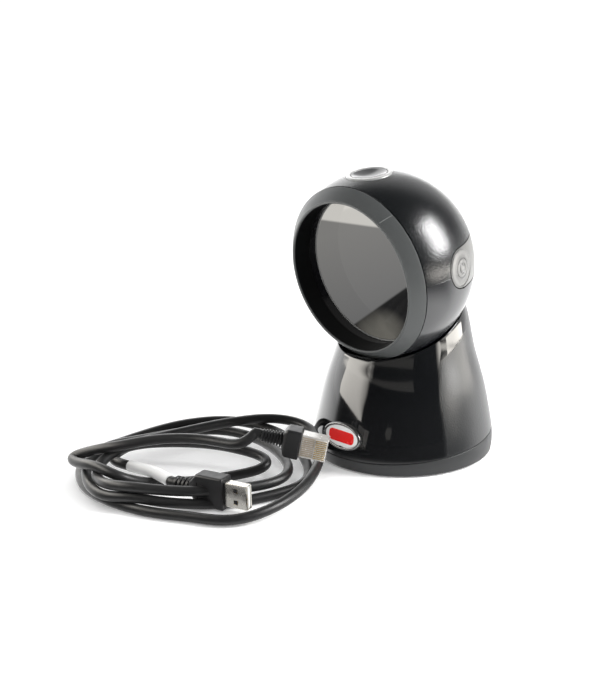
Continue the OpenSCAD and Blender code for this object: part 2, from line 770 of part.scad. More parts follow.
module usb_shell() color("#c3c5c7") usb_frame() difference() {
  box([-6.18, -2.25, -6], [12.36, 4.5, 12]);
  box([-5.8, -1.93, -5.68], [13, 3.86, 11.36]);
  for (z = [-2.9, 2.9]) box([-0.9, -5, z - 1.2], [2.4, 10, 2.4]);
}

module usb_tongue() color("#e9e9e6") usb_frame() box([-5.75, 0.05, -5.6], [11.3, 1.8, 11.2]);

module usb_contacts() color("#d8b45a") usb_frame()
  for (z = [-3.5, -1, 1, 3.5]) box([-2, -0.22, z - 0.5], [7, 0.22, 1]);

module rj_overmould() color("#1b1c1e") rj_frame() rounded_block(-13.5, -4.55, 5, 7.2, 1.4);

module rj_strain_relief() color("#1b1c1e") rj_frame() ribbed(rj_tail_x, -13.52, 3.3, 4.2, 4);

module rj_plug_body() color("#dfe4e6") rj_frame() difference() {
  box([-4.5, -3.9, -5.85], [13, 7.8, 11.7]);
  for (z = contact_places) box([2.6, -4.2, z - 0.27], [5.2, 2.2, 0.54]);
  box([-4.6, -4.2, -4.8], [3, 1.4, 9.6]);
}

module rj_contacts() color("#d8b45a") rj_frame()
  for (z = contact_places) box([2.9, -3.6, z - contact_w / 2], [4.6, 1.5, contact_w]);

module rj_latch() color("#dfe4e6") rj_frame() translate([7.6, 4.75, 0]) {
  cylinder(r = 0.6, h = 5.6, center = true, $fn = 32);
  rotate([0, 0, -12]) box([-10.8, -0.1, -2.8], [10.8, 0.7, 5.6]);
}

head_upper_shell();
head_lower_shell();
window_bezel();
inner_shroud();
window();
window_gasket();
rear_band();
side_caps();
head_screws();
button_ring();
button_cap();
button_spring();
button_board();
button_switch();
button_board_screws();
tilt_pins();
friction_washers();
illumination_board();
illumination_leds();
status_leds();
engine_housing();
lens_barrel();
lens();
image_sensor();
aimer_module();
main_board();
board_chips();
board_standoffs();
board_screws();
neck_yoke();
yoke_screws();
base_shell();
foot_ring();
bottom_plate();
rubber_pad();
ballast_weight();
base_screws();
ballast_screws();
base_board();
base_board_screws();
beeper();
lead_socket();
socket_contacts();
wire_harness();
badge_rim();
badge_plate();
badge_label();
lead_jacket();
lead_label();
usb_overmould();
usb_strain_relief();
usb_shell();
usb_tongue();
usb_contacts();
rj_overmould();
rj_strain_relief();
rj_plug_body();
rj_contacts();
rj_latch();
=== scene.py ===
"""A ball-headed device on a flared base, with its lead coiled on the table in front.

The base stands on z = 0. The front is towards -y and +x is the side that ends in "_r".
Sizes are millimetres unless a name or comment says otherwise; meshes are written in metres.
"""

import bmesh
import bpy
import json
import math
import numpy as np
from mathutils import Matrix, Vector


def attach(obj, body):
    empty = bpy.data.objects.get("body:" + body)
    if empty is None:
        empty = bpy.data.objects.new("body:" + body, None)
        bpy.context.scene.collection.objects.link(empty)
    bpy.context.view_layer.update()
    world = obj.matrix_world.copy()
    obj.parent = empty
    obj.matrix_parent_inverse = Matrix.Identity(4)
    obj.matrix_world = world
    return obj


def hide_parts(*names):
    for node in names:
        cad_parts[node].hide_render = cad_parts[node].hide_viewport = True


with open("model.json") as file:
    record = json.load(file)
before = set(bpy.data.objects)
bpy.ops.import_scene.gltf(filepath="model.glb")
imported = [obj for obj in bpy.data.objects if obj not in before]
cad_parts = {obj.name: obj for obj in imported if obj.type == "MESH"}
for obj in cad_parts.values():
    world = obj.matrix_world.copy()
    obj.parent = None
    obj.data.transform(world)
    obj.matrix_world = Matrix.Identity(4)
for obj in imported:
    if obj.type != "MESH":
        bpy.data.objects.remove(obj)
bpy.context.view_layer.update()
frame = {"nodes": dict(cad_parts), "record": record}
MM = 0.001
scene = bpy.context.scene


# ================================================================ frames
def turn(degrees, axis):
    return Matrix.Rotation(math.radians(degrees), 4, axis)


BALL_R = 46.8
BALL = np.array([0.0, -16.7, 100.7])
HEAD = Matrix.Translation(BALL.tolist()) @ turn(9.4, "X")
FACE = HEAD @ turn(90, "X")          # local z points out through the window
BELL = Matrix.Translation((0, 0.3, 0)) @ turn(-2.22, "X")
BADGE = Matrix.Translation((0, -45.2, 17.67)) @ turn(83, "X")
# Plugs: local x points out of the plug's mouth, local z is its width, standing on edge.
USB = Matrix.Translation((1.6, -115.9, 8.7)) @ turn(15.6, "Z")
RJ = Matrix.Translation((4.7, -72.2, 21.5)) @ turn(38.0, "Z") @ turn(12.0, "Y")
WORLD = Matrix.Identity(4)


# ================================================================ sight lines
CAMERA = np.array([388.6, -440.0, 226.0])
TARGET = np.array([-4.08, -3.67, 19.92])
VIEW_FORWARD = (TARGET - CAMERA) / np.linalg.norm(TARGET - CAMERA)
VIEW_RIGHT = np.cross(VIEW_FORWARD, [0, 0, 1.0])
VIEW_RIGHT /= np.linalg.norm(VIEW_RIGHT)
VIEW_UP = np.cross(VIEW_RIGHT, VIEW_FORWARD)


def sight(across, up):
    """Unit direction from the camera; slopes off its axis in thousandths, right and up."""
    direction = VIEW_FORWARD + VIEW_RIGHT * (across / 1000) + VIEW_UP * (up / 1000)
    return direction / np.linalg.norm(direction)


def sight_at_height(across, up, z):
    direction = sight(across, up)
    return CAMERA + direction * ((z - CAMERA[2]) / direction[2])


def mirrored(direction, normal):
    return direction - 2 * (direction @ normal) * normal


# ================================================================ shader helpers
def add_node(tree, kind, inputs=(), **settings):
    """Makes a node. An input is either a plain value or the socket that feeds it."""
    new = tree.nodes.new(kind)
    for key, value in settings.items():
        setattr(new, key, value)
    for key, value in dict(inputs).items():
        if isinstance(value, bpy.types.NodeSocket):
            tree.links.new(value, new.inputs[key])
        else:
            new.inputs[key].default_value = value
    return new


def set_inputs(tree, target, inputs):
    for key, value in inputs.items():
        if isinstance(value, bpy.types.NodeSocket):
            tree.links.new(value, target.inputs[key])
        else:
            target.inputs[key].default_value = value


def noise_fac(tree, vector, scale, detail=2.0, roughness=0.5):
    inputs = {"Vector": vector, "Scale": scale, "Detail": detail, "Roughness": roughness}
    return add_node(tree, "ShaderNodeTexNoise", inputs).outputs["Fac"]


def do_math(tree, operation, *values):
    return add_node(tree, "ShaderNodeMath", enumerate(values), operation=operation).outputs[0]


def dot(tree, vector, direction):
    inputs = {0: vector, 1: direction}
    new = add_node(tree, "ShaderNodeVectorMath", inputs, operation="DOT_PRODUCT")
    return new.outputs["Value"]


def map_range(tree, value, span, to=(0.0, 1.0), smooth=True, clamp=True):
    inputs = {"Value": value, "From Min": span[0], "From Max": span[1],
              "To Min": to[0], "To Max": to[1]}
    new = add_node(tree, "ShaderNodeMapRange", inputs, clamp=clamp,
                   interpolation_type="SMOOTHSTEP" if smooth else "LINEAR")
    return new.outputs["Result"]


def mix_colour(tree, factor, first, second):
    first, second = ((*c, 1) if isinstance(c, tuple) else c for c in (first, second))
    inputs = {0: factor, 6: first, 7: second}
    return add_node(tree, "ShaderNodeMix", inputs, data_type="RGBA").outputs[2]


def grey_ramp(tree, factor, stops):
    """Colour ramp from (position, grey) stops."""
    ramp = add_node(tree, "ShaderNodeValToRGB", {0: factor})
    elements = ramp.color_ramp.elements
    while len(elements) < len(stops):
        elements.new(0.5)
    for element, (position, grey) in zip(elements, stops):
        element.position = position
        element.color = (grey, grey, grey, 1)
    return ramp.outputs[0]


def bump(tree, height, strength, depth, **previous):
    inputs = {"Height": height, "Strength": strength, "Distance": depth * MM}
    if previous:
        inputs["Normal"] = previous["normal"]
    return add_node(tree, "ShaderNodeBump", inputs).outputs["Normal"]


def new_material(name):
    material = bpy.data.materials.new(name)
    material.use_nodes = True
    tree = material.node_tree
    coords = add_node(tree, "ShaderNodeTexCoord").outputs["Object"]
    return material, tree, tree.nodes["Principled BSDF"], coords


# ================================================================ plain finishes
def finish(name, colour, rough, noise=(), cells=(), metal=0.0, spec=0.5, coat=0.0, trans=0.0,
           vary=0.05, vary_scale=120.0, tint=0.0):
    """Principled finish.

    noise and cells are bumps, each (scale per metre, strength, depth in mm). Roughness
    wanders by vary, and the colour by the share tint, over noise of vary_scale.
    """
    material, tree, shader, coords = new_material(name)
    wander = noise_fac(tree, coords, vary_scale, detail=5.0, roughness=0.6)
    span = (max(0.0, rough - vary), rough + vary)
    set_inputs(tree, shader, {
        "Base Color": (*colour, 1), "Metallic": metal, "IOR": 1.5, "Specular IOR Level": spec,
        "Coat Weight": coat, "Coat Roughness": 0.03, "Transmission Weight": trans,
        "Roughness": map_range(tree, wander, (0.3, 0.7), span, smooth=False)})
    if tint:
        darker = tuple(c * (1 - tint) for c in colour)
        lighter = tuple(min(1, c * (1 + tint)) for c in colour)
        tree.links.new(mix_colour(tree, wander, darker, lighter), shader.inputs["Base Color"])
    previous = {}
    for scale, strength, depth in noise:
        height = noise_fac(tree, coords, scale)
        previous = {"normal": bump(tree, height, strength, depth, **previous)}
    for scale, strength, depth in cells:
        pattern = add_node(tree, "ShaderNodeTexVoronoi", {"Vector": coords, "Scale": scale})
        height = pattern.outputs["Distance"]
        previous = {"normal": bump(tree, height, strength, depth, **previous)}
    tree.links.new(previous["normal"], shader.inputs["Normal"])
    return material


GRAIN = (1150.0, 1.0, 0.085)
FINISHES = {
    "black_satin": dict(colour=(0.006, 0.0068, 0.0075), rough=0.23, spec=0.75, noise=[GRAIN],
                        vary=0.04, vary_scale=900),
    "black_gloss": dict(colour=(0.006, 0.0065, 0.0075), rough=0.06, spec=0.8,
                        noise=[(60, 0.05, 0.05)], vary=0.015, vary_scale=40),
    "lower_gloss": dict(colour=(0.012, 0.0125, 0.014), rough=0.17, spec=1.0,
                        noise=[(90, 0.04, 0.05)], vary=0.02, vary_scale=60),
    "grey_satin": dict(colour=(0.066, 0.07, 0.07), rough=0.42, noise=[(3200, 0.25, 0.03)],
                       vary_scale=300, tint=0.05),
    "foot_grey": dict(colour=(0.03, 0.031, 0.032), rough=0.42, spec=0.38,
                      noise=[(3000, 0.3, 0.03)], vary_scale=300, tint=0.06),
    "cap_grey": dict(colour=(0.13, 0.129, 0.124), rough=0.32, spec=0.6,
                     noise=[(1500, 0.12, 0.02)], vary_scale=200),
    "band_grey": dict(colour=(0.14, 0.139, 0.133), rough=0.32, spec=0.6,
                      noise=[(1500, 0.12, 0.02)], vary_scale=200),
    "inner_black": dict(colour=(0.006, 0.006, 0.007), rough=0.2, noise=[(400, 0.1, 0.02)],
                        vary_scale=150),
    "clear_lens": dict(colour=(0.7, 0.78, 0.85), rough=0.03, trans=1.0,
                       noise=[(50, 0.02, 0.02)], vary=0.01),
    "led_resin": dict(colour=(0.85, 0.83, 0.72), rough=0.2, noise=[(300, 0.1, 0.02)]),
    "chrome": dict(colour=(0.84, 0.84, 0.85), rough=0.09, metal=1.0,
                   noise=[(180, 0.05, 0.02)], vary=0.03),
    "button_dark": dict(colour=(0.02, 0.021, 0.023), rough=0.12, spec=0.9,
                        noise=[(120, 0.04, 0.02)], vary=0.03),
    "badge_white": dict(colour=(0.82, 0.82, 0.81), rough=0.2, coat=0.5,
                        noise=[(300, 0.05, 0.02)]),
    "badge_red": dict(colour=(0.74, 0.014, 0.012), rough=0.25, coat=0.6,
                      noise=[(300, 0.05, 0.02)], tint=0.05),
    "steel": dict(colour=(0.55, 0.55, 0.56), rough=0.3, metal=1.0, noise=[(600, 0.15, 0.02)]),
    "zinc_steel": dict(colour=(0.6, 0.6, 0.61), rough=0.35, metal=1.0,
                       cells=[(300, 0.2, 0.03)], tint=0.1),
    "iron": dict(colour=(0.1, 0.1, 0.105), rough=0.6, metal=0.3, noise=[(500, 0.5, 0.15)],
                 tint=0.15),
    "rubber_black": dict(colour=(0.012, 0.012, 0.012), rough=0.6, spec=0.3,
                         noise=[(1200, 0.4, 0.05)]),
    "friction": dict(colour=(0.02, 0.02, 0.02), rough=0.8, spec=0.2,
                     noise=[(1500, 0.6, 0.08)]),
    "board_green": dict(colour=(0.01, 0.11, 0.035), rough=0.35, coat=0.3,
                        cells=[(700, 0.3, 0.04)], tint=0.2),
    "chip_black": dict(colour=(0.01, 0.01, 0.011), rough=0.5, noise=[(2500, 0.3, 0.03)]),
    "brass": dict(colour=(0.75, 0.56, 0.25), rough=0.25, metal=1.0, noise=[(500, 0.1, 0.02)]),
    "gold_contact": dict(colour=(0.85, 0.62, 0.28), rough=0.22, metal=1.0,
                         noise=[(800, 0.15, 0.02)]),
    "cable_black": dict(colour=(0.012, 0.012, 0.0125), rough=0.42, spec=0.45,
                        noise=[(1600, 0.25, 0.03), (90, 0.15, 0.1)], vary=0.07,
                        vary_scale=200, tint=0.1),
    "overmould": dict(colour=(0.011, 0.011, 0.012), rough=0.4, noise=[(2200, 0.3, 0.03)],
                      vary=0.06, vary_scale=400, tint=0.08),
    "label_white": dict(colour=(0.8, 0.8, 0.79), rough=0.45, spec=0.4,
                        noise=[(400, 0.15, 0.03)], tint=0.03),
    "plug_clear": dict(colour=(0.62, 0.6, 0.57), rough=0.2, spec=0.8, coat=0.6, trans=0.45,
                       noise=[(700, 0.25, 0.05)], vary=0.1, vary_scale=500, tint=0.25),
    "usb_metal": dict(colour=(0.8, 0.78, 0.73), rough=0.24, metal=1.0,
                      noise=[(900, 0.05, 0.02)], vary_scale=300, tint=0.03),
    "usb_white": dict(colour=(0.75, 0.75, 0.73), rough=0.3, noise=[(500, 0.1, 0.02)]),
    "rim_silver": dict(colour=(0.2, 0.2, 0.2), rough=0.18, metal=0.85,
                       noise=[(120, 0.02, 0.02)], vary=0.03),
    "ring_silver": dict(colour=(0.42, 0.42, 0.415), rough=0.28, metal=0.45, spec=0.6,
                        noise=[(120, 0.02, 0.02)], vary=0.03),
    "liner_black": dict(colour=(0.004, 0.0042, 0.0044), rough=0.5, spec=0.12,
                        noise=[(900, 0.1, 0.02)], vary_scale=150),
    "edge_grey": dict(colour=(0.2, 0.2, 0.195), rough=0.4, noise=[(900, 0.1, 0.02)]),
    # near-black matte laid in grooves and seams: painted shade
    "groove": dict(colour=(0.002, 0.002, 0.002), rough=0.7, spec=0.1,
                   noise=[(500, 0.1, 0.02)]),
    "tick": dict(colour=(0.3, 0.31, 0.3), rough=0.4, noise=[(900, 0.1, 0.02)]),
    "wire": dict(colour=(0.25, 0.2, 0.14), rough=0.4, noise=[(600, 0.2, 0.03)],
                 vary_scale=900, tint=0.5),
}
MATERIALS = {name: finish(name, **values) for name, values in FINISHES.items()}


# ================================================================ two-finish bell
# Where gloss turns to satin: (height in mm, degrees behind the sideways axis, minus is front).
# The angle is measured from straight sideways towards the front.
SATIN_LINE = [
    (0.0, 22.8), (27.2, 22.8), (36.5, 23.5), (45.5, 21.5), (52.0, 19.4),
    (55.7, 17.2), (59.3, 6.2), (62.5, -3.8), (67.1, -17.7), (90.0, -60.0),
]
SATIN_LINE_TOP = 90.0


def bell_material():
    """Gloss black front that turns to fine-texture satin on each side of the bell."""
    material, tree, shader, coords = new_material("bell_two_finish")
    x, y, z = add_node(tree, "ShaderNodeSeparateXYZ", {0: coords}).outputs
    sideways = do_math(tree, "ABSOLUTE", x)
    forward = do_math(tree, "MULTIPLY", y, -1.0)
    angle = do_math(tree, "ARCTAN2", forward, sideways)
    stops = [(height / SATIN_LINE_TOP, (degrees + 90) / 180) for height, degrees in SATIN_LINE]
    line = grey_ramp(tree, do_math(tree, "MULTIPLY", z, 1 / 0.09), stops)
    place = map_range(tree, angle, (-math.pi / 2, math.pi / 2), smooth=False, clamp=False)
    satin = map_range(tree, do_math(tree, "SUBTRACT", line, place), (-0.003, 0.022))

    wander = noise_fac(tree, coords, scale=50.0, detail=4.0)
    gloss_rough = map_range(tree, wander, (0.0, 1.0), (0.035, 0.075), smooth=False)
    satin_rough = 0.3
    rough = add_node(tree, "ShaderNodeMix", {0: satin, 2: gloss_rough, 3: satin_rough},
                     data_type="FLOAT").outputs[0]
    grain_scale, grain_strength, grain_depth = GRAIN
    strength = do_math(tree, "MULTIPLY", satin, grain_strength)
    set_inputs(tree, shader, {
        "Roughness": rough,
        "Base Color": mix_colour(tree, satin, (0.005, 0.0054, 0.006), (0.011, 0.012, 0.013)),
        "Specular IOR Level": 0.75,
        "Normal": bump(tree, noise_fac(tree, coords, grain_scale), strength, grain_depth)})
    return material


MATERIALS["bell"] = bell_material()


# ================================================================ window glass with painted reflections
# Places on the window, as sight-line slopes, that set where the painted reflections of studio
# panels lie.
MAIN_TOP, MAIN_BOTTOM = (-52.27117, 148.24306), (-33.60289, 74.41853)
# Each edge runs through its first two places; the third lies inside the panel.
STRIP_EDGE = ((-60.75674, 161.81999), (-12.38894, 155.88008), (-39.54280, 173.69980))
CORNER_EDGE = ((-32.33006, 71.44857), (13.06779, 103.26949), (-1.35769, 63.38727))
GLOW = (-9.84327, 59.99304)


def window_material():
    """Dark coated glass with painted reflections: studio panels glow in it, drawn from the
    mirror direction.
    """
    material, tree, shader, coords = new_material("window_painted_reflections")
    window_normal = np.array(FACE.to_3x3() @ Vector((0, 0, 1)))

    def reflected(place):
        return mirrored(sight(*place), window_normal)

    def edge_plane(start, end, inside):
        normal = np.cross(reflected(start), reflected(end))
        normal /= np.linalg.norm(normal)
        return normal if normal @ reflected(inside) > 0 else -normal

    geometry = add_node(tree, "ShaderNodeNewGeometry")
    view = add_node(tree, "ShaderNodeVectorMath",
                    {0: geometry.outputs["Incoming"], "Scale": -1.0}, operation="SCALE")
    mirror = add_node(tree, "ShaderNodeVectorMath",
                      {0: view.outputs[0], 1: geometry.outputs["Normal"]},
                      operation="REFLECT").outputs[0]
    sharp = (-0.0012, 0.0012)        # width of a panel's edge

    # painted reflection of the main panel, a little darker towards the bottom
    top, bottom = reflected(MAIN_TOP), reflected(MAIN_BOTTOM)
    down = (bottom - top) / np.linalg.norm(bottom - top)
    fall = map_range(tree, dot(tree, mirror, down), (float(top @ down), float(bottom @ down)),
                     smooth=False)
    main = mix_colour(tree, fall, (0.195, 0.192, 0.184), (0.136, 0.136, 0.135))
    # painted reflection of a bright strip along the top
    above = dot(tree, mirror, edge_plane(*STRIP_EDGE))
    strip = do_math(tree, "MULTIPLY", map_range(tree, above, sharp),
                    map_range(tree, above, (0.10, 0.15), (1.0, 0.0)))
    with_strip = mix_colour(tree, strip, main, (0.56, 0.545, 0.51))
    # painted reflection: dark corner at the lower right with a soft warm glow in it
    glow_direction = reflected(GLOW)
    near = dot(tree, mirror, glow_direction / np.linalg.norm(glow_direction))
    mottle = map_range(tree, noise_fac(tree, coords, scale=70.0), (0.3, 0.7), (0.75, 1.1))
    glow = do_math(tree, "MULTIPLY",
                   map_range(tree, near, (math.cos(math.radians(1.6)), 1.0)), mottle)
    corner = mix_colour(tree, glow, (0.0105, 0.0105, 0.0105), (0.125, 0.12, 0.105))
    in_corner = map_range(tree, dot(tree, mirror, edge_plane(*CORNER_EDGE)), sharp)
    # the painted reflections are given to the glass as emission
    set_inputs(tree, shader, {
        "Emission Color": mix_colour(tree, in_corner, with_strip, corner),
        "Emission Strength": 1.0,
        "Base Color": (0.004, 0.004, 0.0045, 1),
        "Roughness": 0.05,
        "Specular IOR Level": 0.12,
        "Normal": bump(tree, noise_fac(tree, coords, scale=9.0), strength=0.03, depth=0.05)})
    return material


MATERIALS["dark_glass"] = window_material()


# ================================================================ mesh helpers
def add_mesh(name, verts, faces, mat, matrix=None, normals=None, angle=35):
    """Smooth-shaded mesh, with given vertex normals or else sharp edges above angle."""
    verts = np.asarray(verts, float)
    if matrix is not None:
        grid = np.array(matrix)
        verts = verts @ grid[:3, :3].T + grid[:3, 3]
        if normals is not None:
            normals = np.asarray(normals) @ grid[:3, :3].T
    mesh = bpy.data.meshes.new(name)
    mesh.from_pydata((verts * MM).tolist(), [], [tuple(int(i) for i in f) for f in faces])
    mesh.validate()
    mesh.update()
    obj = bpy.data.objects.new(name, mesh)
    scene.collection.objects.link(obj)
    mesh.materials.append(MATERIALS[mat])
    for polygon in mesh.polygons:
        polygon.use_smooth = True
    if normals is None:
        mesh.set_sharp_from_angle(angle=math.radians(angle))
    else:
        mesh.normals_split_custom_set_from_vertices([tuple(n) for n in normals])
    return obj


def face_outwards(obj):
    edit = bmesh.new()
    edit.from_mesh(obj.data)
    bmesh.ops.recalc_face_normals(edit, faces=edit.faces)
    edit.to_mesh(obj.data)
    edit.free()


def hand_over(obj, body, part=None):
    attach(obj, body)
    if part:
        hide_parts(part)


def weight_normals(obj):
    modifier = obj.modifiers.new("wn", "WEIGHTED_NORMAL")
    modifier.keep_sharp = True
    modifier.weight = 60


def solid(name, verts, faces, mat, body, matrix=None, part=None, angle=35):
    """Closed piece; its one slot holds its material."""
    obj = add_mesh(name, verts, faces, mat, matrix, angle=angle)
    face_outwards(obj)
    hand_over(obj, body, part)
    weight_normals(obj)


def fillet(points, radii, steps):
    """Rounds the corners of a closed 2D polygon; radii is one number or one per corner."""
    out = []
    for i, corner in enumerate(points):
        radius = radii[i] if isinstance(radii, list) else radii
        if radius <= 0:
            out.append(corner)
            continue
        corner = np.array(corner, float)
        back = np.array(points[i - 1], float) - corner
        ahead = np.array(points[(i + 1) % len(points)], float) - corner
        back_len, ahead_len = np.linalg.norm(back), np.linalg.norm(ahead)
        back, ahead = back / back_len, ahead / ahead_len
        opening = math.acos(max(-1, min(1, float(back @ ahead))))
        if opening > math.pi - 0.02:
            out.append(tuple(corner))
            continue
        cut = min(radius / math.tan(opening / 2), back_len * 0.48, ahead_len * 0.48)
        radius = cut * math.tan(opening / 2)
        middle = (back + ahead) / np.linalg.norm(back + ahead)
        centre = corner + middle * (radius / math.sin(opening / 2))
        start, end = corner + back * cut - centre, corner + ahead * cut - centre
        start_angle = math.atan2(start[1], start[0])
        end_angle = math.atan2(end[1], end[0])
        sweep = (end_angle - start_angle + math.pi) % (2 * math.pi) - math.pi
        for k in range(steps + 1):
            angle = start_angle + sweep * k / steps
            out.append((centre[0] + radius * math.cos(angle),
                        centre[1] + radius * math.sin(angle)))
    return out


def lathe(name, profile, mat, body, matrix, segments=256, part=None, angle=35):
    """Turned solid about local z from a closed (radius, z) outline."""
    verts, faces, starts = [], [], []
    on_axis = [r < 1e-6 for r, z in profile]
    turns = [2 * math.pi * k / segments for k in range(segments)]
    for (r, z), axial in zip(profile, on_axis):
        starts.append(len(verts))
        if axial:
            verts.append((0, 0, z))
        else:
            verts.extend((r * math.cos(a), r * math.sin(a), z) for a in turns)
    for i in range(len(profile)):
        j = (i + 1) % len(profile)
        if on_axis[i] and on_axis[j]:
            continue
        near, far = starts[i], starts[j]
        for k in range(segments):
            l = (k + 1) % segments
            if on_axis[i]:
                faces.append((near, far + l, far + k))
            elif on_axis[j]:
                faces.append((near + k, near + l, far))
            else:
                faces.append((near + k, near + l, far + l, far + k))
    solid(name, verts, faces, mat, body, matrix, part, angle)


def ring_faces(rings, size, hollow=False):
    """Faces of a loft; a hollow one joins its last ring back to its first."""
    faces = []
    for i in range(rings if hollow else rings - 1):
        near, far = i * size, (i + 1) % rings * size
        for k in range(size):
            l = (k + 1) % size
            faces.append((near + k, near + l, far + l, far + k))
    if not hollow:
        faces.append(tuple(reversed(range(size))))
        faces.append(tuple((rings - 1) * size + k for k in range(size)))
    return faces


def loft(name, rings, mat, body, matrix, part=None, angle=45, hollow=False):
    verts = [point for ring in rings for point in ring]
    faces = ring_faces(len(rings), len(rings[0]), hollow)
    solid(name, verts, faces, mat, body, matrix, part, angle)


def rounded_rect(half_x, half_y, radius, steps=8):
    x, y = half_x - radius, half_y - radius
    points = []
    for centre_x, centre_y, start in ((x, y, 0), (-x, y, 90), (-x, -y, 180), (x, -y, 270)):
        for k in range(steps + 1):
            angle = math.radians(start + 90 * k / steps)
            points.append((centre_x + radius * math.cos(angle),
                           centre_y + radius * math.sin(angle)))
    return points


def loft_x(name, stations, mat, body, matrix, part):
    """Loft through rounded rectangles (x, half y, half z, corner radius)."""
    rings = [[(x, y, z) for y, z in rounded_rect(half_y, half_z, radius)]
             for x, half_y, half_z, radius in stations]
    loft(name, rings, mat, body, matrix, part)


BOX_FACES = ((0, 1, 3, 2), (4, 6, 7, 5), (0, 4, 5, 1), (2, 3, 7, 6), (0, 2, 6, 4), (1, 5, 7, 3))


def box_corners(x_span, y_span, z_span):
    return [(x, y, z) for x in x_span for y in y_span for z in z_span]


def box(name, x_span, y_span, z_span, mat, body, matrix, bevel, steps, part=None,
        weigh=True):
    corners = box_corners(x_span, y_span, z_span)
    obj = add_mesh(name, corners, BOX_FACES, mat, matrix, angle=60)
    face_outwards(obj)
    modifier = obj.modifiers.new("bev", "BEVEL")
    modifier.width = bevel * MM
    modifier.segments = steps
    modifier.limit_method = "NONE"
    modifier.harden_normals = False
    hand_over(obj, body, part)
    if weigh:
        weight_normals(obj)
    return obj


# ================================================================ spherical skins
def sphere_grid(radius, around=240, down=120):
    verts, faces = [], []
    for i in range(1, down):
        polar = math.pi * i / down
        for k in range(around):
            a = 2 * math.pi * k / around
            verts.append((radius * math.sin(polar) * math.cos(a),
                          radius * math.sin(polar) * math.sin(a), radius * math.cos(polar)))
    top, bottom = len(verts), len(verts) + 1
    verts += [(0, 0, radius), (0, 0, -radius)]
    last = (down - 2) * around
    for k in range(around):
        l = (k + 1) % around
        faces.append((top, k, l))
        faces.append((bottom, last + l, last + k))
    for i in range(down - 2):
        for k in range(around):
            l = (k + 1) % around
            faces.append((i * around + k, (i + 1) * around + k,
                          (i + 1) * around + l, i * around + l))
    return verts, faces


def clip(surface, keep):
    """Keeps the part of a (verts, faces) surface where keep >= 0, cutting faces at 0."""
    verts, faces = surface
    verts = [np.asarray(v, float) for v in verts]
    values = [float(keep(v)) for v in verts]
    cuts, out = {}, []
    for face in faces:
        kept = [values[i] >= 0 for i in face]
        if all(kept):
            out.append(tuple(face))
            continue
        if not any(kept):
            continue
        trimmed = []
        for i, j in zip(face, face[1:] + face[:1]):
            if values[i] >= 0:
                trimmed.append(i)
            if (values[i] >= 0) != (values[j] >= 0):
                key = (min(i, j), max(i, j))
                if key not in cuts:
                    start, end = verts[i], verts[j]
                    low, high = 0.0, 1.0
                    for _ in range(14):
                        mid = (low + high) / 2
                        if (keep(start + (end - start) * mid) >= 0) == (values[i] >= 0):
                            low = mid
                        else:
                            high = mid
                    verts.append(start + (end - start) * ((low + high) / 2))
                    values.append(0.0)
                    cuts[key] = len(verts) - 1
                trimmed.append(cuts[key])
        if len(trimmed) >= 3:
            out.append(tuple(trimmed))
    used = sorted({i for face in out for i in face})
    renumber = {i: k for k, i in enumerate(used)}
    return [verts[i] for i in used], [tuple(renumber[i] for i in face) for face in out]


def skin(name, surface, radius, depth, mat, edge, part=None):
    """Closed skin on the head: the patch, a small rounded edge, sides and an inner face."""
    verts, patch_faces = surface
    outer = np.array(verts)
    outer = outer / np.linalg.norm(outer, axis=1)[:, None] * radius
    edges = dict.fromkeys((a, b) for f in patch_faces for a, b in zip(f, f[1:] + f[:1]))
    border = [(a, b) for a, b in edges if (b, a) not in edges]
    rim = sorted({i for pair in border for i in pair})
    place = {i: k for k, i in enumerate(rim)}

    # direction away from the patch, along the surface, at each border vertex
    away = np.zeros((len(rim), 3))
    for a, b in border:
        step = np.cross(outer[b] - outer[a], outer[a] / radius)
        step /= (np.linalg.norm(step) + 1e-9)
        away[place[a]] += step
        away[place[b]] += step
    away /= (np.linalg.norm(away, axis=1)[:, None] + 1e-9)

    base = outer[rim]
    radial = base / radius
    normals = [outer / radius]
    # the border itself moves in by the edge width, then rolls over
    outer[rim] = base - away * edge
    layers = [outer]
    for spread, drop in ((0.3, 0.12), (0.75, 0.5), (1.0, 1.0)):
        layers.append(base - away * (edge - edge * spread) - radial * edge * drop)
        normals.append(radial * math.cos(spread * 1.2) + away * math.sin(spread * 1.2))
    bottom = base - radial * depth
    layers += [base - radial * edge, bottom]
    normals += [away, away]

    rings = [rim]
    total = len(outer)
    for _ in layers[1:]:
        rings.append(range(total, total + len(rim)))
        total += len(rim)
    faces = list(patch_faces)
    for upper, lower in zip(rings, rings[1:]):
        for a, b in border:
            i, j = place[a], place[b]
            faces.append((upper[j], upper[i], lower[i], lower[j]))
    inner = outer / radius * (radius - depth)
    inner[rim] = bottom
    layers.append(inner)
    normals.append(-outer / radius)
    faces += [tuple(total + i for i in reversed(f)) for f in patch_faces]
    obj = add_mesh(name, np.vstack(layers), faces, mat, HEAD, normals=np.vstack(normals))
    hand_over(obj, "head", part)


# ================================================================ head
SEAM = 16.1                      # the skins end this far in front of the ball's centre
SPLIT = 0.5                      # height of the upper and lower skins' joint
SPLIT_GAP = 0.03
SKIN_DEPTH = 2.4
BUTTON_HOLE_R = 11.52
CAP_BACK = 10.5                  # degrees each side cap is turned to the rear
CAP_Z = 2.1
BAND_Z, BAND_HALF, BAND_FRONT, BAND_END_R = 1.9, 9.7, 8.53, 9.5
BAND_CLEARANCE = 0.52
CAP_HOLE_R = 9.12
STEM_HALF, STEM_START, STEM_END = 8.7, 12.6, 53.6     # half width; degrees up the rear

cap_sin, cap_cos = math.sin(math.radians(CAP_BACK)), math.cos(math.radians(CAP_BACK))
cap_axes = [np.array([side * cap_cos, cap_sin, 0]) for side in (1, -1)]


def cap_distances(p):
    """Distance from the axis of each side cap that lies on the point's side."""
    q = p - np.array([0, 0, CAP_Z])
    return [np.linalg.norm(q - axis * (q @ axis)) for axis in cap_axes if q @ axis > 0]


def band_zone(p, grow):
    """Positive inside the rear band with its round ends."""
    strip = min(BAND_HALF + grow - abs(p[2] - BAND_Z), p[1] - BAND_FRONT + grow)
    return max([strip] + [BAND_END_R + grow - d for d in cap_distances(p)])


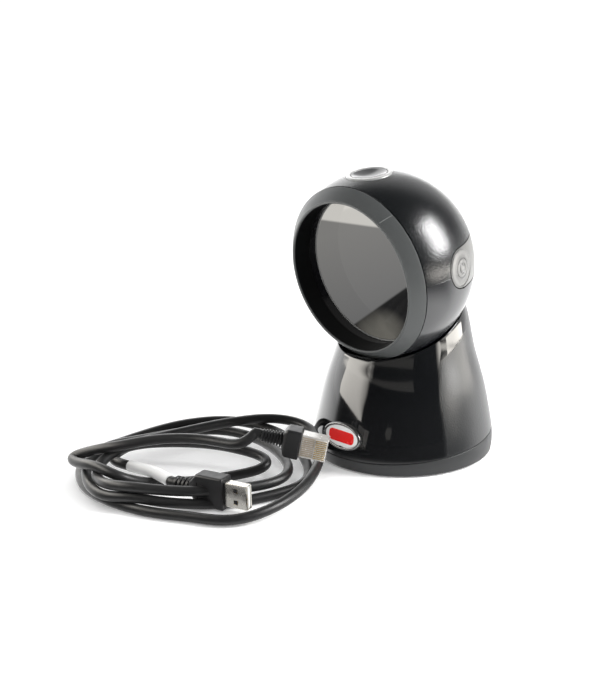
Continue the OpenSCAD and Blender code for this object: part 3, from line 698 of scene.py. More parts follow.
def outside_stem_slot(p):
    """Negative inside the slot, below and behind, for the stem that carries the head."""
    if p[2] > 0:
        return 1.0
    angle = math.degrees(math.atan2(p[1], -p[2]))
    return -min(STEM_HALF - abs(p[0]), (angle - STEM_START) * 0.8, (STEM_END - angle) * 0.8)


def outside_band(p):
    return -band_zone(p, BAND_CLEARANCE)


def make_skins():
    sphere = sphere_grid(BALL_R)
    behind_seam = clip(sphere, lambda p: p[1] + SEAM)
    upper = clip(behind_seam, lambda p: p[2] - SPLIT - SPLIT_GAP)
    upper = clip(upper, lambda p: math.hypot(p[0], p[1]) - BUTTON_HOLE_R)
    upper = clip(upper, outside_band)
    skin("upper_skin", upper, BALL_R, SKIN_DEPTH, "black_satin", edge=0.12,
         part="head_upper_shell")
    lower = clip(behind_seam, lambda p: SPLIT - SPLIT_GAP - p[2])
    lower = clip(lower, outside_band)
    lower = clip(lower, outside_stem_slot)
    skin("lower_skin", lower, BALL_R, SKIN_DEPTH, "lower_gloss", edge=0.1,
         part="head_lower_shell")
    band = clip(sphere, lambda p: band_zone(p, 0.0))
    band = clip(band, lambda p: max((d - CAP_HOLE_R for d in cap_distances(p)), default=1.0))
    skin("band_skin", band, BALL_R - 0.04, 1.2, "band_grey", edge=0.1, part="rear_band")
    # painted shade: a near-black, barely recessed ring in the groove round the rear band
    groove = clip(sphere, lambda p: band_zone(p, 0.5))
    groove = clip(groove, lambda p: -band_zone(p, 0.03))
    skin("band_groove", groove, BALL_R - 0.09, 0.8, "groove", edge=0.05)


# Face of a side cap: radius, radius at which the ball's surface is taken, depth below it
CAP_FACE = [
    (9.1, 9.1, 0.1), (9.02, 9.02, 0.02), (8.7, 8.7, 0.0), (8.0, 8.0, 0.03), (7.2, 7.2, 0.16),
    (6.2, 6.2, 0.22), (5.3, 5.3, 0.14), (4.86, 4.86, 0.08), (4.78, 4.7, 0.36),
    (4.6, 4.6, 0.36), (4.52, 4.5, 0.06), (3.6, 3.6, 0.0), (2.6, 2.6, 0.05), (2.42, 2.4, 0.33),
    (2.24, 2.2, 0.33), (2.1, 2.0, 0.05), (1.2, 1.2, 0.0), (0, 0, 0),
]
CAP_R, CAP_FLOOR = 9.1, 44.6


def make_side_caps():
    """Shallow dished discs with two grooves, one on each side of the head."""
    profile = [(0, CAP_FLOOR), (CAP_R, CAP_FLOOR)]
    profile += [(r, math.sqrt(BALL_R * BALL_R - at * at) - 0.05 - depth)
                for r, at, depth in CAP_FACE]
    for suffix, degrees, part in (("r", CAP_BACK, "side_caps"), ("l", 180 - CAP_BACK, None)):
        matrix = (HEAD @ turn(degrees, "Z") @ Matrix.Translation((0, 0, CAP_Z))
                  @ turn(90, "Y"))
        lathe("side_cap_" + suffix, profile, "cap_grey", "head", matrix, 128, part, angle=60)


make_skins()
make_side_caps()

# ================================================================ bezel and window
SEAM_R = math.sqrt(BALL_R * BALL_R - SEAM * SEAM)
BEZEL_START, BEZEL_END = SEAM + 0.9, 22.7 - 0.45      # ends of the sloping band, in depth
BEZEL_START_R, BEZEL_END_R = SEAM_R - 0.05, 38.72
BEZEL_BULGE = 0.35
BEZEL_INNER_R, BEZEL_BACK = 37.35, 12.52
TICK_ANGLE = math.radians(51.0)
TICK_STEPS = 8


def bezel_radius(depth):
    t = (depth - BEZEL_START) / (BEZEL_END - BEZEL_START)
    return BEZEL_START_R + (BEZEL_END_R - BEZEL_START_R) * t + BEZEL_BULGE * (4 * t * (1 - t))


def make_bezel():
    profile = [(BEZEL_INNER_R, BEZEL_BACK), (41.1, BEZEL_BACK), (41.1, SEAM + 0.5),
               (SEAM_R - 0.42, SEAM + 0.5), (SEAM_R - 0.1, SEAM + 0.62),
               (BEZEL_START_R, BEZEL_START)]
    for k in range(1, 15):
        depth = BEZEL_START + (BEZEL_END - BEZEL_START) * k / 14
        profile.append((bezel_radius(depth), depth))
    profile += [(38.6, 22.55), (38.36, 22.68), (38.1, 22.72), (37.72, 22.7), (37.52, 22.62),
                (37.4, 22.4), (BEZEL_INNER_R, 22.1)]
    lathe("bezel_ring", profile, "grey_satin", "head", FACE, 320, "window_bezel", angle=28)
    profile = [(37.0, 12.56), (37.345, 12.56), (37.345, 21.95), (37.28, 22.1), (37.2, 22.1),
               (37.12, 21.95)]
    lathe("bezel_liner", profile, "liner_black", "head", FACE, 320,
          angle=40)


def make_tick():
    """Fine raised line across the bezel band."""
    verts, faces = [], []
    for k in range(TICK_STEPS + 1):
        depth = SEAM + 1.0 + (21.9 - SEAM - 1.0) * k / TICK_STEPS
        top = bezel_radius(depth) + 0.03
        for half_width in (-0.0018, 0.0018):
            a = TICK_ANGLE + half_width + 0.035 * (k / TICK_STEPS - 0.5)
            for r in (top, top - 0.1):
                verts.append((r * math.cos(a), r * math.sin(a), depth))
    for a in range(0, 4 * TICK_STEPS, 4):
        faces += [(a, a + 2, a + 6, a + 4), (a + 1, a + 5, a + 7, a + 3),
                  (a, a + 4, a + 5, a + 1), (a + 2, a + 3, a + 7, a + 6)]
    faces += [(0, 1, 3, 2), (32, 34, 35, 33)]
    hand_over(add_mesh("bezel_tick", verts, faces, "tick", FACE), "head")


def make_window():
    # painted shade: a near-black ring in the groove between the skins and the bezel
    profile = [(41.0, 14.0), (SEAM_R - 0.6, 14.0), (SEAM_R - 0.6, SEAM + 0.7),
               (41.0, SEAM + 0.7)]
    lathe("seam_shadow", profile, "groove", "head", FACE)
    profile = [(36.9, 4.2), (41.0, 4.2), (41.0, 12.4), (38.24, 12.4), (38.16, 12.2),
               (38.14, 6.9), (38.05, 6.72), (37.5, 6.7), (37.5, 4.3)]
    lathe("shroud_wall", profile, "inner_black", "head", FACE, angle=28)
    profile = fillet([(0, 4.66), (37.45, 4.66), (37.45, 6.66), (0, 6.66)],
                     [0, 0.1, 0.25, 0], steps=4)
    lathe("window_glass", profile, "dark_glass", "head", FACE, part="window", angle=25)
    # light bevelled edge round the window
    profile = fillet([(37.46, 6.3), (38.1, 6.3), (38.1, 6.95), (37.46, 6.72)], 0.06, steps=3)
    lathe("window_edge", profile, "edge_grey", "head", FACE, part="window_gasket")


def make_button():
    profile = fillet([(9.2, 43.3), (11.37, 43.3), (11.37, 45.55), (10.9, 46.12), (9.85, 46.3),
                      (9.2, 46.0)], [0.05, 0.1, 0.3, 0.5, 0.5, 0.15], steps=5)
    lathe("button_ring_v", profile, "ring_silver", "head", HEAD, 192, "button_ring")
    dish_r, dish_top, dish_depth = 8.45, 45.95, 1.75
    profile = [(0, 43.0), (9.03, 43.0), (9.03, 45.55), (8.98, 45.78), (8.85, 45.92),
               (8.6, 45.97)]
    for k in range(17):
        r = dish_r * (1 - k / 16)
        profile.append((r, dish_top - dish_depth * (1 - (r / dish_r) ** 2) ** 1.15))
    lathe("button_cap_v", profile, "button_dark", "button", HEAD, 160, "button_cap", angle=50)


make_bezel()
make_tick()
make_window()
make_button()

# ================================================================ bell outline
# Bell outline: height along its leaning axis, radius
BELL_OUTLINE = np.array([
    (0.0, 46.5), (5.5, 47.3), (12.5, 47.0), (25, 44.7), (39.5, 41.15), (56.2, 35.85),
    (74.9, 31.35), (80, 29.6), (92, 25.2),
])
bell_z, bell_radii = BELL_OUTLINE.T
bell_gaps = np.diff(bell_z)
bell_grid = np.array(BELL)


def spline_bends():
    """Second derivatives of the natural cubic spline through the outline."""
    count = len(bell_z)
    system, right = np.zeros((count, count)), np.zeros(count)
    system[0, 0] = system[-1, -1] = 1
    slopes = np.diff(bell_radii) / bell_gaps
    for i in range(1, count - 1):
        before, after = bell_gaps[i - 1], bell_gaps[i]
        system[i, i - 1:i + 2] = before, 2 * (before + after), after
        right[i] = 6 * (slopes[i] - slopes[i - 1])
    return np.linalg.solve(system, right)


bell_bends = spline_bends()


def bell_radius(z):
    i = int(np.clip(np.searchsorted(bell_z, z) - 1, 0, len(bell_z) - 2))
    above, below, gap = bell_z[i + 1] - z, z - bell_z[i], bell_gaps[i]
    return (bell_bends[i] * above ** 3 / (6 * gap) + bell_bends[i + 1] * below ** 3 / (6 * gap)
            + (bell_radii[i] / gap - bell_bends[i] * gap / 6) * above
            + (bell_radii[i + 1] / gap - bell_bends[i + 1] * gap / 6) * below)


def bell_point(angle, height, inset=0.0):
    r = bell_radius(height) - inset
    return (bell_grid @ np.array([r * math.cos(angle), r * math.sin(angle), height, 1.0]))[:3]


def solve(rising, low, high):
    """Where a rising function crosses zero."""
    for _ in range(40):
        mid = (low + high) / 2
        if rising(mid) > 0:
            high = mid
        else:
            low = mid
    return (low + high) / 2


def above_foot_seam(p, gap):
    """Height over the sloping joint of bell and foot ring, shifted by gap."""
    return p[2] - (10.44 + 0.0787 * p[1]) - gap


# ================================================================ base
BELL_SEGMENTS = 288
FACE_ROWS, CUP_ROWS = 56, 22
FOOT_ROWS = 14
CUP_R = 47.9                     # hollow that holds the ball
BELL_TOP = 87.0
SEAM_HALF_GAP = 0.16
FOOT_BOTTOM = 0.85
CUP_TILT = math.radians(24)
CUP_POLE = np.array([0, math.sin(CUP_TILT), -math.cos(CUP_TILT)])


def outside_cup(point):
    return CUP_R - np.linalg.norm(point - BALL)


def bell_column(angle):
    """Points from inside the skirt, up the outer face, over the rim and down the cup."""
    def at(height, inset=0.0):
        return bell_point(angle, height, inset)

    foot = solve(lambda h: above_foot_seam(at(h), SEAM_HALF_GAP), 3, 25)
    cup_meets = solve(lambda h: outside_cup(at(h)), 20, 91.9)
    top_meets = solve(lambda h: at(h)[2] - BELL_TOP, 60, 91.9)
    top = min(cup_meets, top_meets)
    column = [at(foot + 0.02, 1.6), at(foot, 0.25), at(foot + 0.07, 0.06)]
    for j in range(FACE_ROWS):
        t = j / (FACE_ROWS - 1)
        column.append(at(foot + 0.28 + (top - 0.45 - foot - 0.28) * t))
    if top_meets < cup_meets:
        # flat rim, in as far as the cup
        width = 0.0
        if np.linalg.norm(at(top) - BALL) > CUP_R:
            width = solve(lambda inset: outside_cup(at(top, inset)), 0.0, 6.0)
        column += [at(top - 0.12, 0.04), at(top, 0.3), at(top, max(0.35, width - 0.25))]
        rim = at(top - 0.3, max(0.5, width))
    else:
        rim = at(top - 0.12, 0.3)
        column += [at(top - 0.2, 0.02), at(top - 0.1, 0.12), rim]
    start = rim - BALL
    start /= np.linalg.norm(start)
    sweep = math.acos(max(-1, min(1, float(start @ CUP_POLE))))
    for j in range(CUP_ROWS):
        t = 0.004 + 0.996 * (j / (CUP_ROWS - 1)) ** 1.3
        start_part = math.sin((1 - t) * sweep) / math.sin(sweep)
        pole_part = math.sin(t * sweep) / math.sin(sweep)
        column.append(BALL + (start * start_part + CUP_POLE * pole_part) * CUP_R)
    return column


def foot_column(angle):
    """Closed section of the foot ring."""
    def at(height, inset=0.0):
        return bell_point(angle, height, inset)

    top = solve(lambda h: above_foot_seam(at(h), -SEAM_HALF_GAP), 3, 25)
    low = solve(lambda h: at(h)[2] - FOOT_BOTTOM, -3, 6)
    column = [at(low + 0.38, 3.0), at(low + 0.03, 2.8), at(low, 0.5), at(low + 0.1, 0.14),
              at(low + 0.43)]
    column += [at(low + 0.95 + (top - 0.4 - low - 0.95) * j / (FOOT_ROWS - 1))
               for j in range(FOOT_ROWS)]
    column += [at(top - 0.18, 0.05), at(top - 0.05, 0.2), at(top, 0.5), at(top - 0.02, 3.0)]
    return column


def revolve(column_at, closed):
    """Joins columns all the way round; closed ones also join last row to first."""
    columns = [column_at(2 * math.pi * k / BELL_SEGMENTS) for k in range(BELL_SEGMENTS)]
    rows = len(columns[0])
    faces = []
    for k in range(BELL_SEGMENTS):
        near, far = k * rows, (k + 1) % BELL_SEGMENTS * rows
        for j in range(rows if closed else rows - 1):
            up = (j + 1) % rows
            faces.append((near + j, far + j, far + up, near + up))
    return [point for column in columns for point in column], faces


def make_base():
    verts, faces = revolve(bell_column, closed=False)
    solid("bell_shell", verts, faces, "bell", "base", part="base_shell",
          angle=50)

    verts, faces = revolve(foot_column, closed=True)

    def in_outlet(face):
        x, y, z = np.mean([verts[i] for i in face], axis=0)
        return y > 30 and abs(x) < 7.4 and 4.2 < z < 12.6

    # an opening is left at the back for the lead's outlet
    faces = [face for face in faces if not in_outlet(face)]
    solid("foot_ring_v", verts, faces, "foot_grey", "base", part="foot_ring", angle=40)
    # painted shade: a near-black ring behind the foot seam
    lathe("foot_seam_shade", [(43.4, 13.4), (44.2, 13.4), (44.6, 16.4), (43.4, 16.4)], "groove",
          "base", WORLD, 192)
    pad_r, pad_top = 44.2, 1.25
    profile = fillet([(0, 0.0), (pad_r, 0.0), (pad_r, pad_top), (0, pad_top)],
                     [0, 0.25, 0.1, 0], steps=3)
    lathe("pad", profile, "rubber_black", "base", WORLD, 192, "rubber_pad")


make_base()

# ================================================================ badge
BADGE_HALF_W, BADGE_HALF_H = 12.5, 6.95
BADGE_SEGMENTS = 128


def badge_oval(height, inset, inset_h=None):
    """Oval ring inset from the badge's outline, by inset_h in height if that differs."""
    half_w = BADGE_HALF_W - inset
    half_h = BADGE_HALF_H - (inset if inset_h is None else inset_h)
    turns = [2 * math.pi * k / BADGE_SEGMENTS for k in range(BADGE_SEGMENTS)]
    return [(half_w * math.cos(t), half_h * math.sin(t), height) for t in turns]


def make_badge():
    rim_back, crest_inset, crest = -2.1, 0.75, 0.95
    rings = [(rim_back, 0.2), (-2.0, 0), (0.0, 0)]
    for k in range(9):
        q = math.pi / 2 * k / 8
        rings.append((crest * math.sin(q), crest_inset * (1 - math.cos(q))))
    for k in range(1, 7):
        q = math.pi / 2 * k / 6
        rings.append((crest - 0.35 * (1 - math.cos(q)), crest_inset + 0.65 * math.sin(q)))
    rings += [(0.3, 1.5), (rim_back, 1.5)]
    loft("badge_rim_v", [badge_oval(*ring) for ring in rings], "rim_silver", "base", BADGE,
         "badge_rim", angle=50, hollow=True)
    rings = [(0.0, 1.52), (0.5, 1.52), (0.58, 1.62), (0.66, 4, 3)]
    loft("badge_plate_v", [badge_oval(*ring) for ring in rings], "badge_white", "base", BADGE,
         "badge_plate", angle=50)
    # height, half width, half height, corner radius
    label = [(0.5, 8.5, 3.05, 2.3), (0.74, 8.5, 3.05, 2.3), (0.8, 8.37, 2.92, 2.2)]
    rings = [[(x, y, height) for x, y in rounded_rect(*outline)] for height, *outline in label]
    loft("badge_label_v", rings, "badge_red", "base", BADGE, "badge_label", angle=40)


make_badge()


# ================================================================ USB plug
def strain_relief(name, start, end, start_r, end_r, ribs, core, matrix, part, rib_width):
    """Closely set ribs over a thinner core, along local x; rib_width is a share of pitch."""
    profile = [(0, start)]
    pitch = (end - start) / ribs
    for i in range(ribs):
        r = start_r + (end_r - start_r) * (i + 0.5) / ribs
        for radius, share in ((core, 0), (core, 0.16), (r - 0.25, 0.2), (r, 0.32),
                              (r, rib_width + 0.18), (r - 0.25, rib_width + 0.3),
                              (core, rib_width + 0.36)):
            profile.append((radius, start + pitch * (i + share)))
    profile += [(core, end), (0, end)]
    lathe(name, profile, "overmould", "lead", matrix @ turn(90, "Y"), 48, part, angle=30)


# x, half y, half z, corner radius
USB_BODY = [
    (-25.9, 2.6, 3.0, 1.5), (-25.4, 3.1, 3.6, 1.8), (-24.0, 3.5, 4.6, 1.9),
    (-22.4, 3.9, 6.3, 1.8), (-21.2, 4.15, 7.6, 1.6), (-20.4, 4.2, 7.95, 1.5),
    (-19, 4.2, 8.0, 1.4), (-7.2, 4.2, 8.0, 1.2), (-6.6, 4.12, 7.92, 1.15),
    (-6.3, 3.9, 7.7, 1.05), (-6.2, 3.6, 7.4, 0.9),
]
USB_BODY_HALF = 4.2
SHEET = 0.32
SHELL_HALF_X, SHELL_HALF_Y, SHELL_HALF_Z = 6.18, 2.25, 6.0
SHELL_WINDOW_Z = 2.9


def make_usb_shell():
    """Sheet-metal sleeve, open at the mouth, with two square windows in each broad face."""
    obj = box("usb_metal_shell", (-SHELL_HALF_X, SHELL_HALF_X), (-SHELL_HALF_Y, SHELL_HALF_Y),
              (-SHELL_HALF_Z, SHELL_HALF_Z), "usb_metal", "lead", USB, bevel=0.45, steps=3,
              part="usb_shell", weigh=False)
    inner_y, inner_z = SHELL_HALF_Y - SHEET, SHELL_HALF_Z - SHEET
    corners = box_corners((-5.6, 7.5), (-inner_y, inner_y), (-inner_z, inner_z))
    for z in (-SHELL_WINDOW_Z, SHELL_WINDOW_Z):
        corners += box_corners((-1.0, 1.4), (-4, 4), (z - 1.15, z + 1.15))
    faces = [tuple(start + i for i in face) for start in range(0, len(corners), 8)
             for face in BOX_FACES]
    grid = np.array(USB)
    verts = np.array(corners) @ grid[:3, :3].T + grid[:3, 3]
    mesh = bpy.data.meshes.new("cutter")
    mesh.from_pydata((verts * MM).tolist(), [], faces)
    cutter = bpy.data.objects.new("cutter", mesh)
    scene.collection.objects.link(cutter)
    face_outwards(cutter)
    cut = obj.modifiers.new("cut", "BOOLEAN")
    cut.operation = "DIFFERENCE"
    cut.solver = "EXACT"
    cut.object = cutter
    cut.use_self = True          # the cutter's boxes overlap
    bpy.context.view_layer.update()
    evaluated = obj.evaluated_get(bpy.context.evaluated_depsgraph_get())
    baked = bpy.data.meshes.new_from_object(evaluated)
    obj.modifiers.clear()
    obj.data = baked
    baked.set_sharp_from_angle(angle=math.radians(30))
    bpy.data.objects.remove(cutter)
    weight_normals(obj)


def make_usb_plug():
    loft_x("usb_body", USB_BODY, "overmould", "lead", USB, "usb_overmould")
    # painted shade: a thin near-black groove line across each broad face of the body
    for suffix, side in (("f", -1), ("b", 1)):
        y = side * USB_BODY_HALF
        box("usb_body_line_" + suffix, (-20.2, -19.75), (y - 0.06, y + 0.06),
            (-USB_BODY_HALF, USB_BODY_HALF), "groove", "lead", USB, bevel=0.04, steps=1)
    strain_relief("usb_relief", start=-34.8, end=-25.6, start_r=3.35, end_r=3.7, ribs=4,
                  core=2.75, matrix=USB, part="usb_strain_relief", rib_width=0.55)
    make_usb_shell()
    # dark plates behind the shell's windows
    for suffix, z in (("a", -SHELL_WINDOW_Z), ("b", SHELL_WINDOW_Z)):
        box("usb_spring_" + suffix, (-0.95, 0.75), (-2.12, -1.86), (z - 0.95, z + 0.95),
            "chip_black", "lead", USB, bevel=0.08, steps=2)
    box("usb_tongue_v", (-5.7, 5.5), (0.1, 1.85), (-5.6, 5.6), "usb_white", "lead", USB,
        bevel=0.15, steps=2, part="usb_tongue")


make_usb_plug()

# ================================================================ modular plug
# x, half y, half z, corner radius
RJ_BODY = [
    (-13.5, 2.6, 3.4, 1.4), (-13.2, 3.4, 5.0, 1.6), (-12.3, 4.4, 6.6, 1.6),
    (-11.4, 4.9, 7.15, 1.4), (-10.8, 5.0, 7.2, 1.3), (-5.3, 5.0, 7.2, 1.2),
    (-4.8, 4.9, 7.1, 1.1), (-4.55, 4.5, 6.7, 0.9),
]
CONTACTS = 10                    # on a 1 mm pitch
CONTACT_ZS = [i - (CONTACTS - 1) / 2 for i in range(CONTACTS)]


def make_rj_plug():
    loft_x("rj_body_mould", RJ_BODY, "overmould", "lead", RJ, "rj_overmould")
    strain_relief("rj_relief", start=-23.8, end=-13.5, start_r=3.1, end_r=3.9, ribs=7,
                  core=2.7, matrix=RJ, part="rj_strain_relief", rib_width=0.42)
    box("rj_clear_body", (-4.5, 8.5), (-3.15, 3.9), (-5.85, 5.85), "plug_clear", "lead", RJ,
        bevel=0.35, steps=2, part="rj_plug_body")
    # raised comb of clear ribs between the contacts, thicker at its ends
    for i in range(CONTACTS + 1):
        z = i - CONTACTS / 2
        half = 0.17 if 0 < i < CONTACTS else 0.3
        box("rj_rib_%02d" % i, (2.2, 8.3), (-3.85, -3.0), (z - half, z + half), "plug_clear",
            "lead", RJ, bevel=0.05, steps=1)
    for i, z in enumerate(CONTACT_ZS):
        box("rj_pin_%02d" % i, (2.6, 7.9), (-3.62, -2.9), (z - 0.22, z + 0.22),
            "gold_contact", "lead", RJ, bevel=0.05, steps=1,
            part="rj_contacts" if i == 0 else None)
    for i, z in enumerate(CONTACT_ZS):
        box("rj_core_%02d" % i, (-4.0, 2.1), (-3.32, -2.8), (z - 0.3, z + 0.3), "wire",
            "lead", RJ, bevel=0.12, steps=2)
    root = RJ @ Matrix.Translation((7.6, 4.75, 0))
    arm = root @ turn(-12, "Z")
    box("rj_latch_root", (-0.6, 0.6), (-0.6, 0.6), (-2.8, 2.8), "plug_clear", "latch", root,
        bevel=0.25, steps=3, part="rj_latch")
    box("rj_latch_arm", (-10.8, 0.2), (-0.1, 0.6), (-2.8, 2.8), "plug_clear", "latch", arm,
        bevel=0.15, steps=2)
    box("rj_latch_step", (-4.6, -2.6), (0.5, 1.1), (-1.6, 1.6), "plug_clear", "latch", arm,
        bevel=0.15, steps=2)


make_rj_plug()

# ================================================================ lead
LEAD_R = 2.5
# Centreline of the coil from the USB plug to the modular plug. Each station lies on a sight
# line: slope across, slope up (thousandths), and the height z in mm at which it is met.
LEAD_STATIONS = [
    (-199.2260, -54.1766, 8.2), (-214.6543, -49.5481, 8.0), (-228.5398, -46.1538, 7.6),
    (-239.3396, -41.8339, 8.0), (-240.5739, -37.2054, 9.5), (-228.5398, -31.4969, 12.5),
    (-208.4830, -25.6342, 15), (-185.3405, -20.6971, 16.5), (-156.0267, -14.0629, 17),
    (-129.7985, -9.4344, 16.5), (-103.5703, -7.2745, 15), (-80.4279, -9.8973, 13),
    (-66.5424, -17.6114, 11), (-60.6796, -29.1827, 9.5), (-61.1425, -41.5253, 8.5),
    (-65.7710, -53.8680, 7.5), (-74.2565, -65.4392, 6.5), (-88.1420, -76.5476, 5.5),
    (-106.6560, -86.2675, 4.5), (-129.7985, -93.6731, 3.3), (-149.8553, -93.9816, 2.8),
    (-171.4550, -90.5874, 2.7), (-193.0546, -88.5817, 2.6), (-216.1971, -84.4161, 2.6),
    (-239.3396, -77.7819, 2.6), (-254.7679, -70.0677, 2.6), (-262.4821, -62.3536, 2.7),
    (-264.7963, -53.8680, 3.2), (-262.4821, -45.3824, 4.5), (-254.7679, -37.6683, 6.5),
    (-240.8824, -31.4969, 8.5), (-220.8256, -24.5542, 10), (-199.2260, -17.6114, 11.5),
    (-177.6263, -12.2115, 12.5), (-152.9410, -9.1259, 12.5), (-134.4270, -9.1259, 12),
    (-115.9130, -12.2115, 11), (-97.3990, -18.3828, 10), (-85.0564, -26.0970, 9),
    (-78.1136, -35.3540, 8), (-71.9423, -44.6110, 6.5), (-68.8566, -53.8680, 5),
    (-74.2565, -63.1250, 3.6), (-91.2277, -70.0677, 2.8), (-111.2845, -74.6962, 2.6),
    (-131.3413, -78.5533, 2.6), (-154.4838, -80.4047, 2.7), (-177.6263, -79.7876, 4.2),
    (-199.2260, -77.3191, 6), (-220.8256, -76.2391, 6.5), (-240.8824, -74.2334, 6.5),
    (-253.2251, -67.7535, 6.8), (-258.1622, -60.0393, 7.5), (-259.3964, -50.7823, 9),
    (-256.3108, -41.5253, 11), (-243.9681, -33.8112, 12), (-223.9113, -27.9484, 12),
    (-199.2260, -22.7028, 11), (-174.5406, -18.3828, 10), (-149.8553, -16.8400, 9.5),
    (-131.3413, -19.1543, 9), (-114.3702, -24.5542, 8.6), (-98.9418, -33.8112, 8),
    (-89.6849, -43.0682, 7.6), (-86.5992, -52.3252, 7.2), (-94.3134, -60.0393, 7),
    (-112.8273, -64.6678, 7), (-137.5127, -67.7535, 8), (-162.1980, -69.2963, 9.4),
    (-186.8833, -69.2963, 10), (-208.4830, -70.0677, 10), (-226.9969, -70.0677, 10),
    (-240.8824, -66.2107, 10.4), (-249.3680, -59.2679, 11), (-251.3737, -50.7823, 12),
    (-247.0538, -42.2968, 13.4), (-234.7111, -34.5826, 15), (-216.1971, -29.1827, 15.5),
    (-193.0546, -27.6398, 14.5), (-168.3693, -27.9484, 13), (-146.7697, -29.9541, 12),
    (-128.2557, -33.8112, 11), (-111.2845, -38.4397, 9), (-102.0275, -43.8396, 8),
    (-105.1132, -49.2395, 6.5), (-122.0843, -53.5594, 4.6), (-146.7697, -58.1879, 3.1),
    (-162.1980, -60.0393, 2.8), (-177.6263, -61.2736, 2.8), (-189.9690, -61.7364, 2.8),
    (-199.2260, -61.7364, 3.0), (-206.9401, -61.2736, 4.4), (-215.4257, -60.6565, 7.2),
    (-223.9113, -59.4222, 10.2), (-234.7111, -56.6451, 12.8), (-251.6823, -51.0909, 13.5),
    (-265.5678, -45.8453, 13), (-274.0533, -42.4510, 12.4), (-273.5905, -39.3654, 13),
    (-264.0249, -37.2054, 15), (-248.5966, -33.8112, 17.5), (-230.0826, -30.7255, 20),
    (-208.4830, -26.0970, 21.5), (-188.1176, -24.2456, 22), (-163.7408, -24.5542, 22),
    (-142.1412, -27.9484, 22), (-125.1700, -31.0341, 22.4),
]


def plug_tail(matrix, x):
    """Where the lead leaves a plug, and the direction in which it leaves."""
    return (np.array(matrix @ Vector((x, 0, 0))),
            np.array(matrix.to_3x3() @ Vector((-1, 0, 0))))


def catmull_rom(points, steps):
    out = []
    last = len(points) - 1
    for i in range(last):
        p0, p1, p2, p3 = (points[max(0, min(last, j))] for j in range(i - 1, i + 3))
        for k in range(steps):
            t = k / steps
            out.append(0.5 * (2 * p1 + (p2 - p0) * t
                              + (2 * p0 - 5 * p1 + 4 * p2 - p3) * t * t
                              + (3 * p1 - p0 - 3 * p2 + p3) * t ** 3))
    out.append(points[-1])
    return np.array(out)


def lengths_along(path):
    return np.concatenate([[0], np.cumsum(np.linalg.norm(np.diff(path, axis=0), axis=1))])


def lead_path():
    """Smoothed centreline at an even spacing, clear of the table."""
    spacing = 1.6
    usb_end, usb_way = plug_tail(USB, -35)
    rj_end, rj_way = plug_tail(RJ, -23.9)
    points = [usb_end, usb_end + usb_way * 3.0]
    points += [sight_at_height(*station) for station in LEAD_STATIONS]
    points += [rj_end + rj_way * 4.0, rj_end]
    dense = catmull_rom(points, steps=10)
    along = lengths_along(dense)
    even = np.linspace(0, along[-1], int(along[-1] / spacing))
    path = np.array([[np.interp(q, along, dense[:, axis]) for axis in range(3)] for q in even])
    for _ in range(14):
        path[3:-3] = path[3:-3] * 0.5 + (path[2:-4] + path[4:-2]) * 0.25
    path[:, 2] = np.maximum(path[:, 2], LEAD_R + 0.05)
    return path


def part_strands(path):
    """Pushes strands apart, mostly up and down, where they would pass through each other."""
    count = len(path)
    clearance = 2 * LEAD_R + 0.05
    order = np.arange(count)
    apart = np.abs(order[:, None] - order[None, :]) > 8
    # spreads each push along the lead so that it bends gently
    spread = np.exp(-0.5 * (np.arange(-10, 11) / 4.0) ** 2) / 2.2
    end_fade = np.clip(np.minimum(order, order[::-1]) / 12.0, 0, 1)
    for _ in range(40):
        distance = np.linalg.norm(path[:, None, :] - path[None, :, :], axis=2)
        first, second = np.where((distance < clearance) & apart)
        once = first < second
        first, second = first[once], second[once]
        if len(first) == 0:
            break
        push = np.zeros_like(path)
        touches = np.zeros(count)
        for a, b in zip(first, second):
            way = path[a] - path[b]
            gap = np.linalg.norm(way) + 1e-6
            way = way / gap
            # strands at one height: the earlier one goes under
            rise = way[2] if abs(way[2]) > 0.15 else -0.3
            way = np.array([way[0] * 0.35, way[1] * 0.35, rise])
            way /= np.linalg.norm(way)
            share = (clearance - gap) * 0.5
            push[a] += way * share
            push[b] -= way * share
            touches[a] += 1
            touches[b] += 1
        touched = touches > 0
        push[touched] /= touches[touched][:, None] ** 0.7
        gentle = np.stack([np.convolve(push[:, axis], spread, mode="same")
                           for axis in range(3)], 1)
        gentle[:3] = 0
        gentle[-3:] = 0
        path += gentle * end_fade[:, None] * 0.6
        path[4:-4] = path[4:-4] * 0.8 + (path[3:-5] + path[5:-3]) * 0.1
        path[:, 2] = np.maximum(path[:, 2], LEAD_R + 0.02)
    return path


def tube(name, path, radius, mat, part, segments):
    ways = np.gradient(path, axis=0)
    ways /= np.linalg.norm(ways, axis=1)[:, None]
    side = np.cross(ways[0], [0, 0, 1.0])
    side /= np.linalg.norm(side)
    verts, normals = [], []
    for point, way in zip(path, ways):
        side = side - way * (side @ way)
        side /= np.linalg.norm(side)
        other = np.cross(way, side)
        for k in range(segments):
            a = 2 * math.pi * k / segments
            out = side * math.cos(a) + other * math.sin(a)
            verts.append(point + out * radius)
            normals.append(out)
    faces = ring_faces(len(path), segments)
    hand_over(add_mesh(name, verts, faces, mat, normals=normals), "lead", part)


def make_lead():
    path = part_strands(lead_path())
    tube("lead_cable", path, LEAD_R, "cable_black", "lead_jacket", segments=24)
    # blank white sleeve just behind the USB plug
    start, end = np.searchsorted(lengths_along(path), (1.8, 34.0))
    tube("lead_sleeve", path[start:end + 1], LEAD_R + 0.42, "label_white", "lead_label",
         segments=40)


make_lead()

# ================================================================ finishes on the frame's nodes
for subpart in frame["record"]["subparts"]:
    piece = frame["nodes"].get(subpart["node"])
    if piece is None or piece.hide_render:
        continue
    piece.data.materials.clear()
    piece.data.materials.append(MATERIALS[subpart["material_slot"]])


# ================================================================ floor and world
def mix_shader(tree, factor, first, second):
    return add_node(tree, "ShaderNodeMixShader", {0: factor, 1: first, 2: second}).outputs[0]


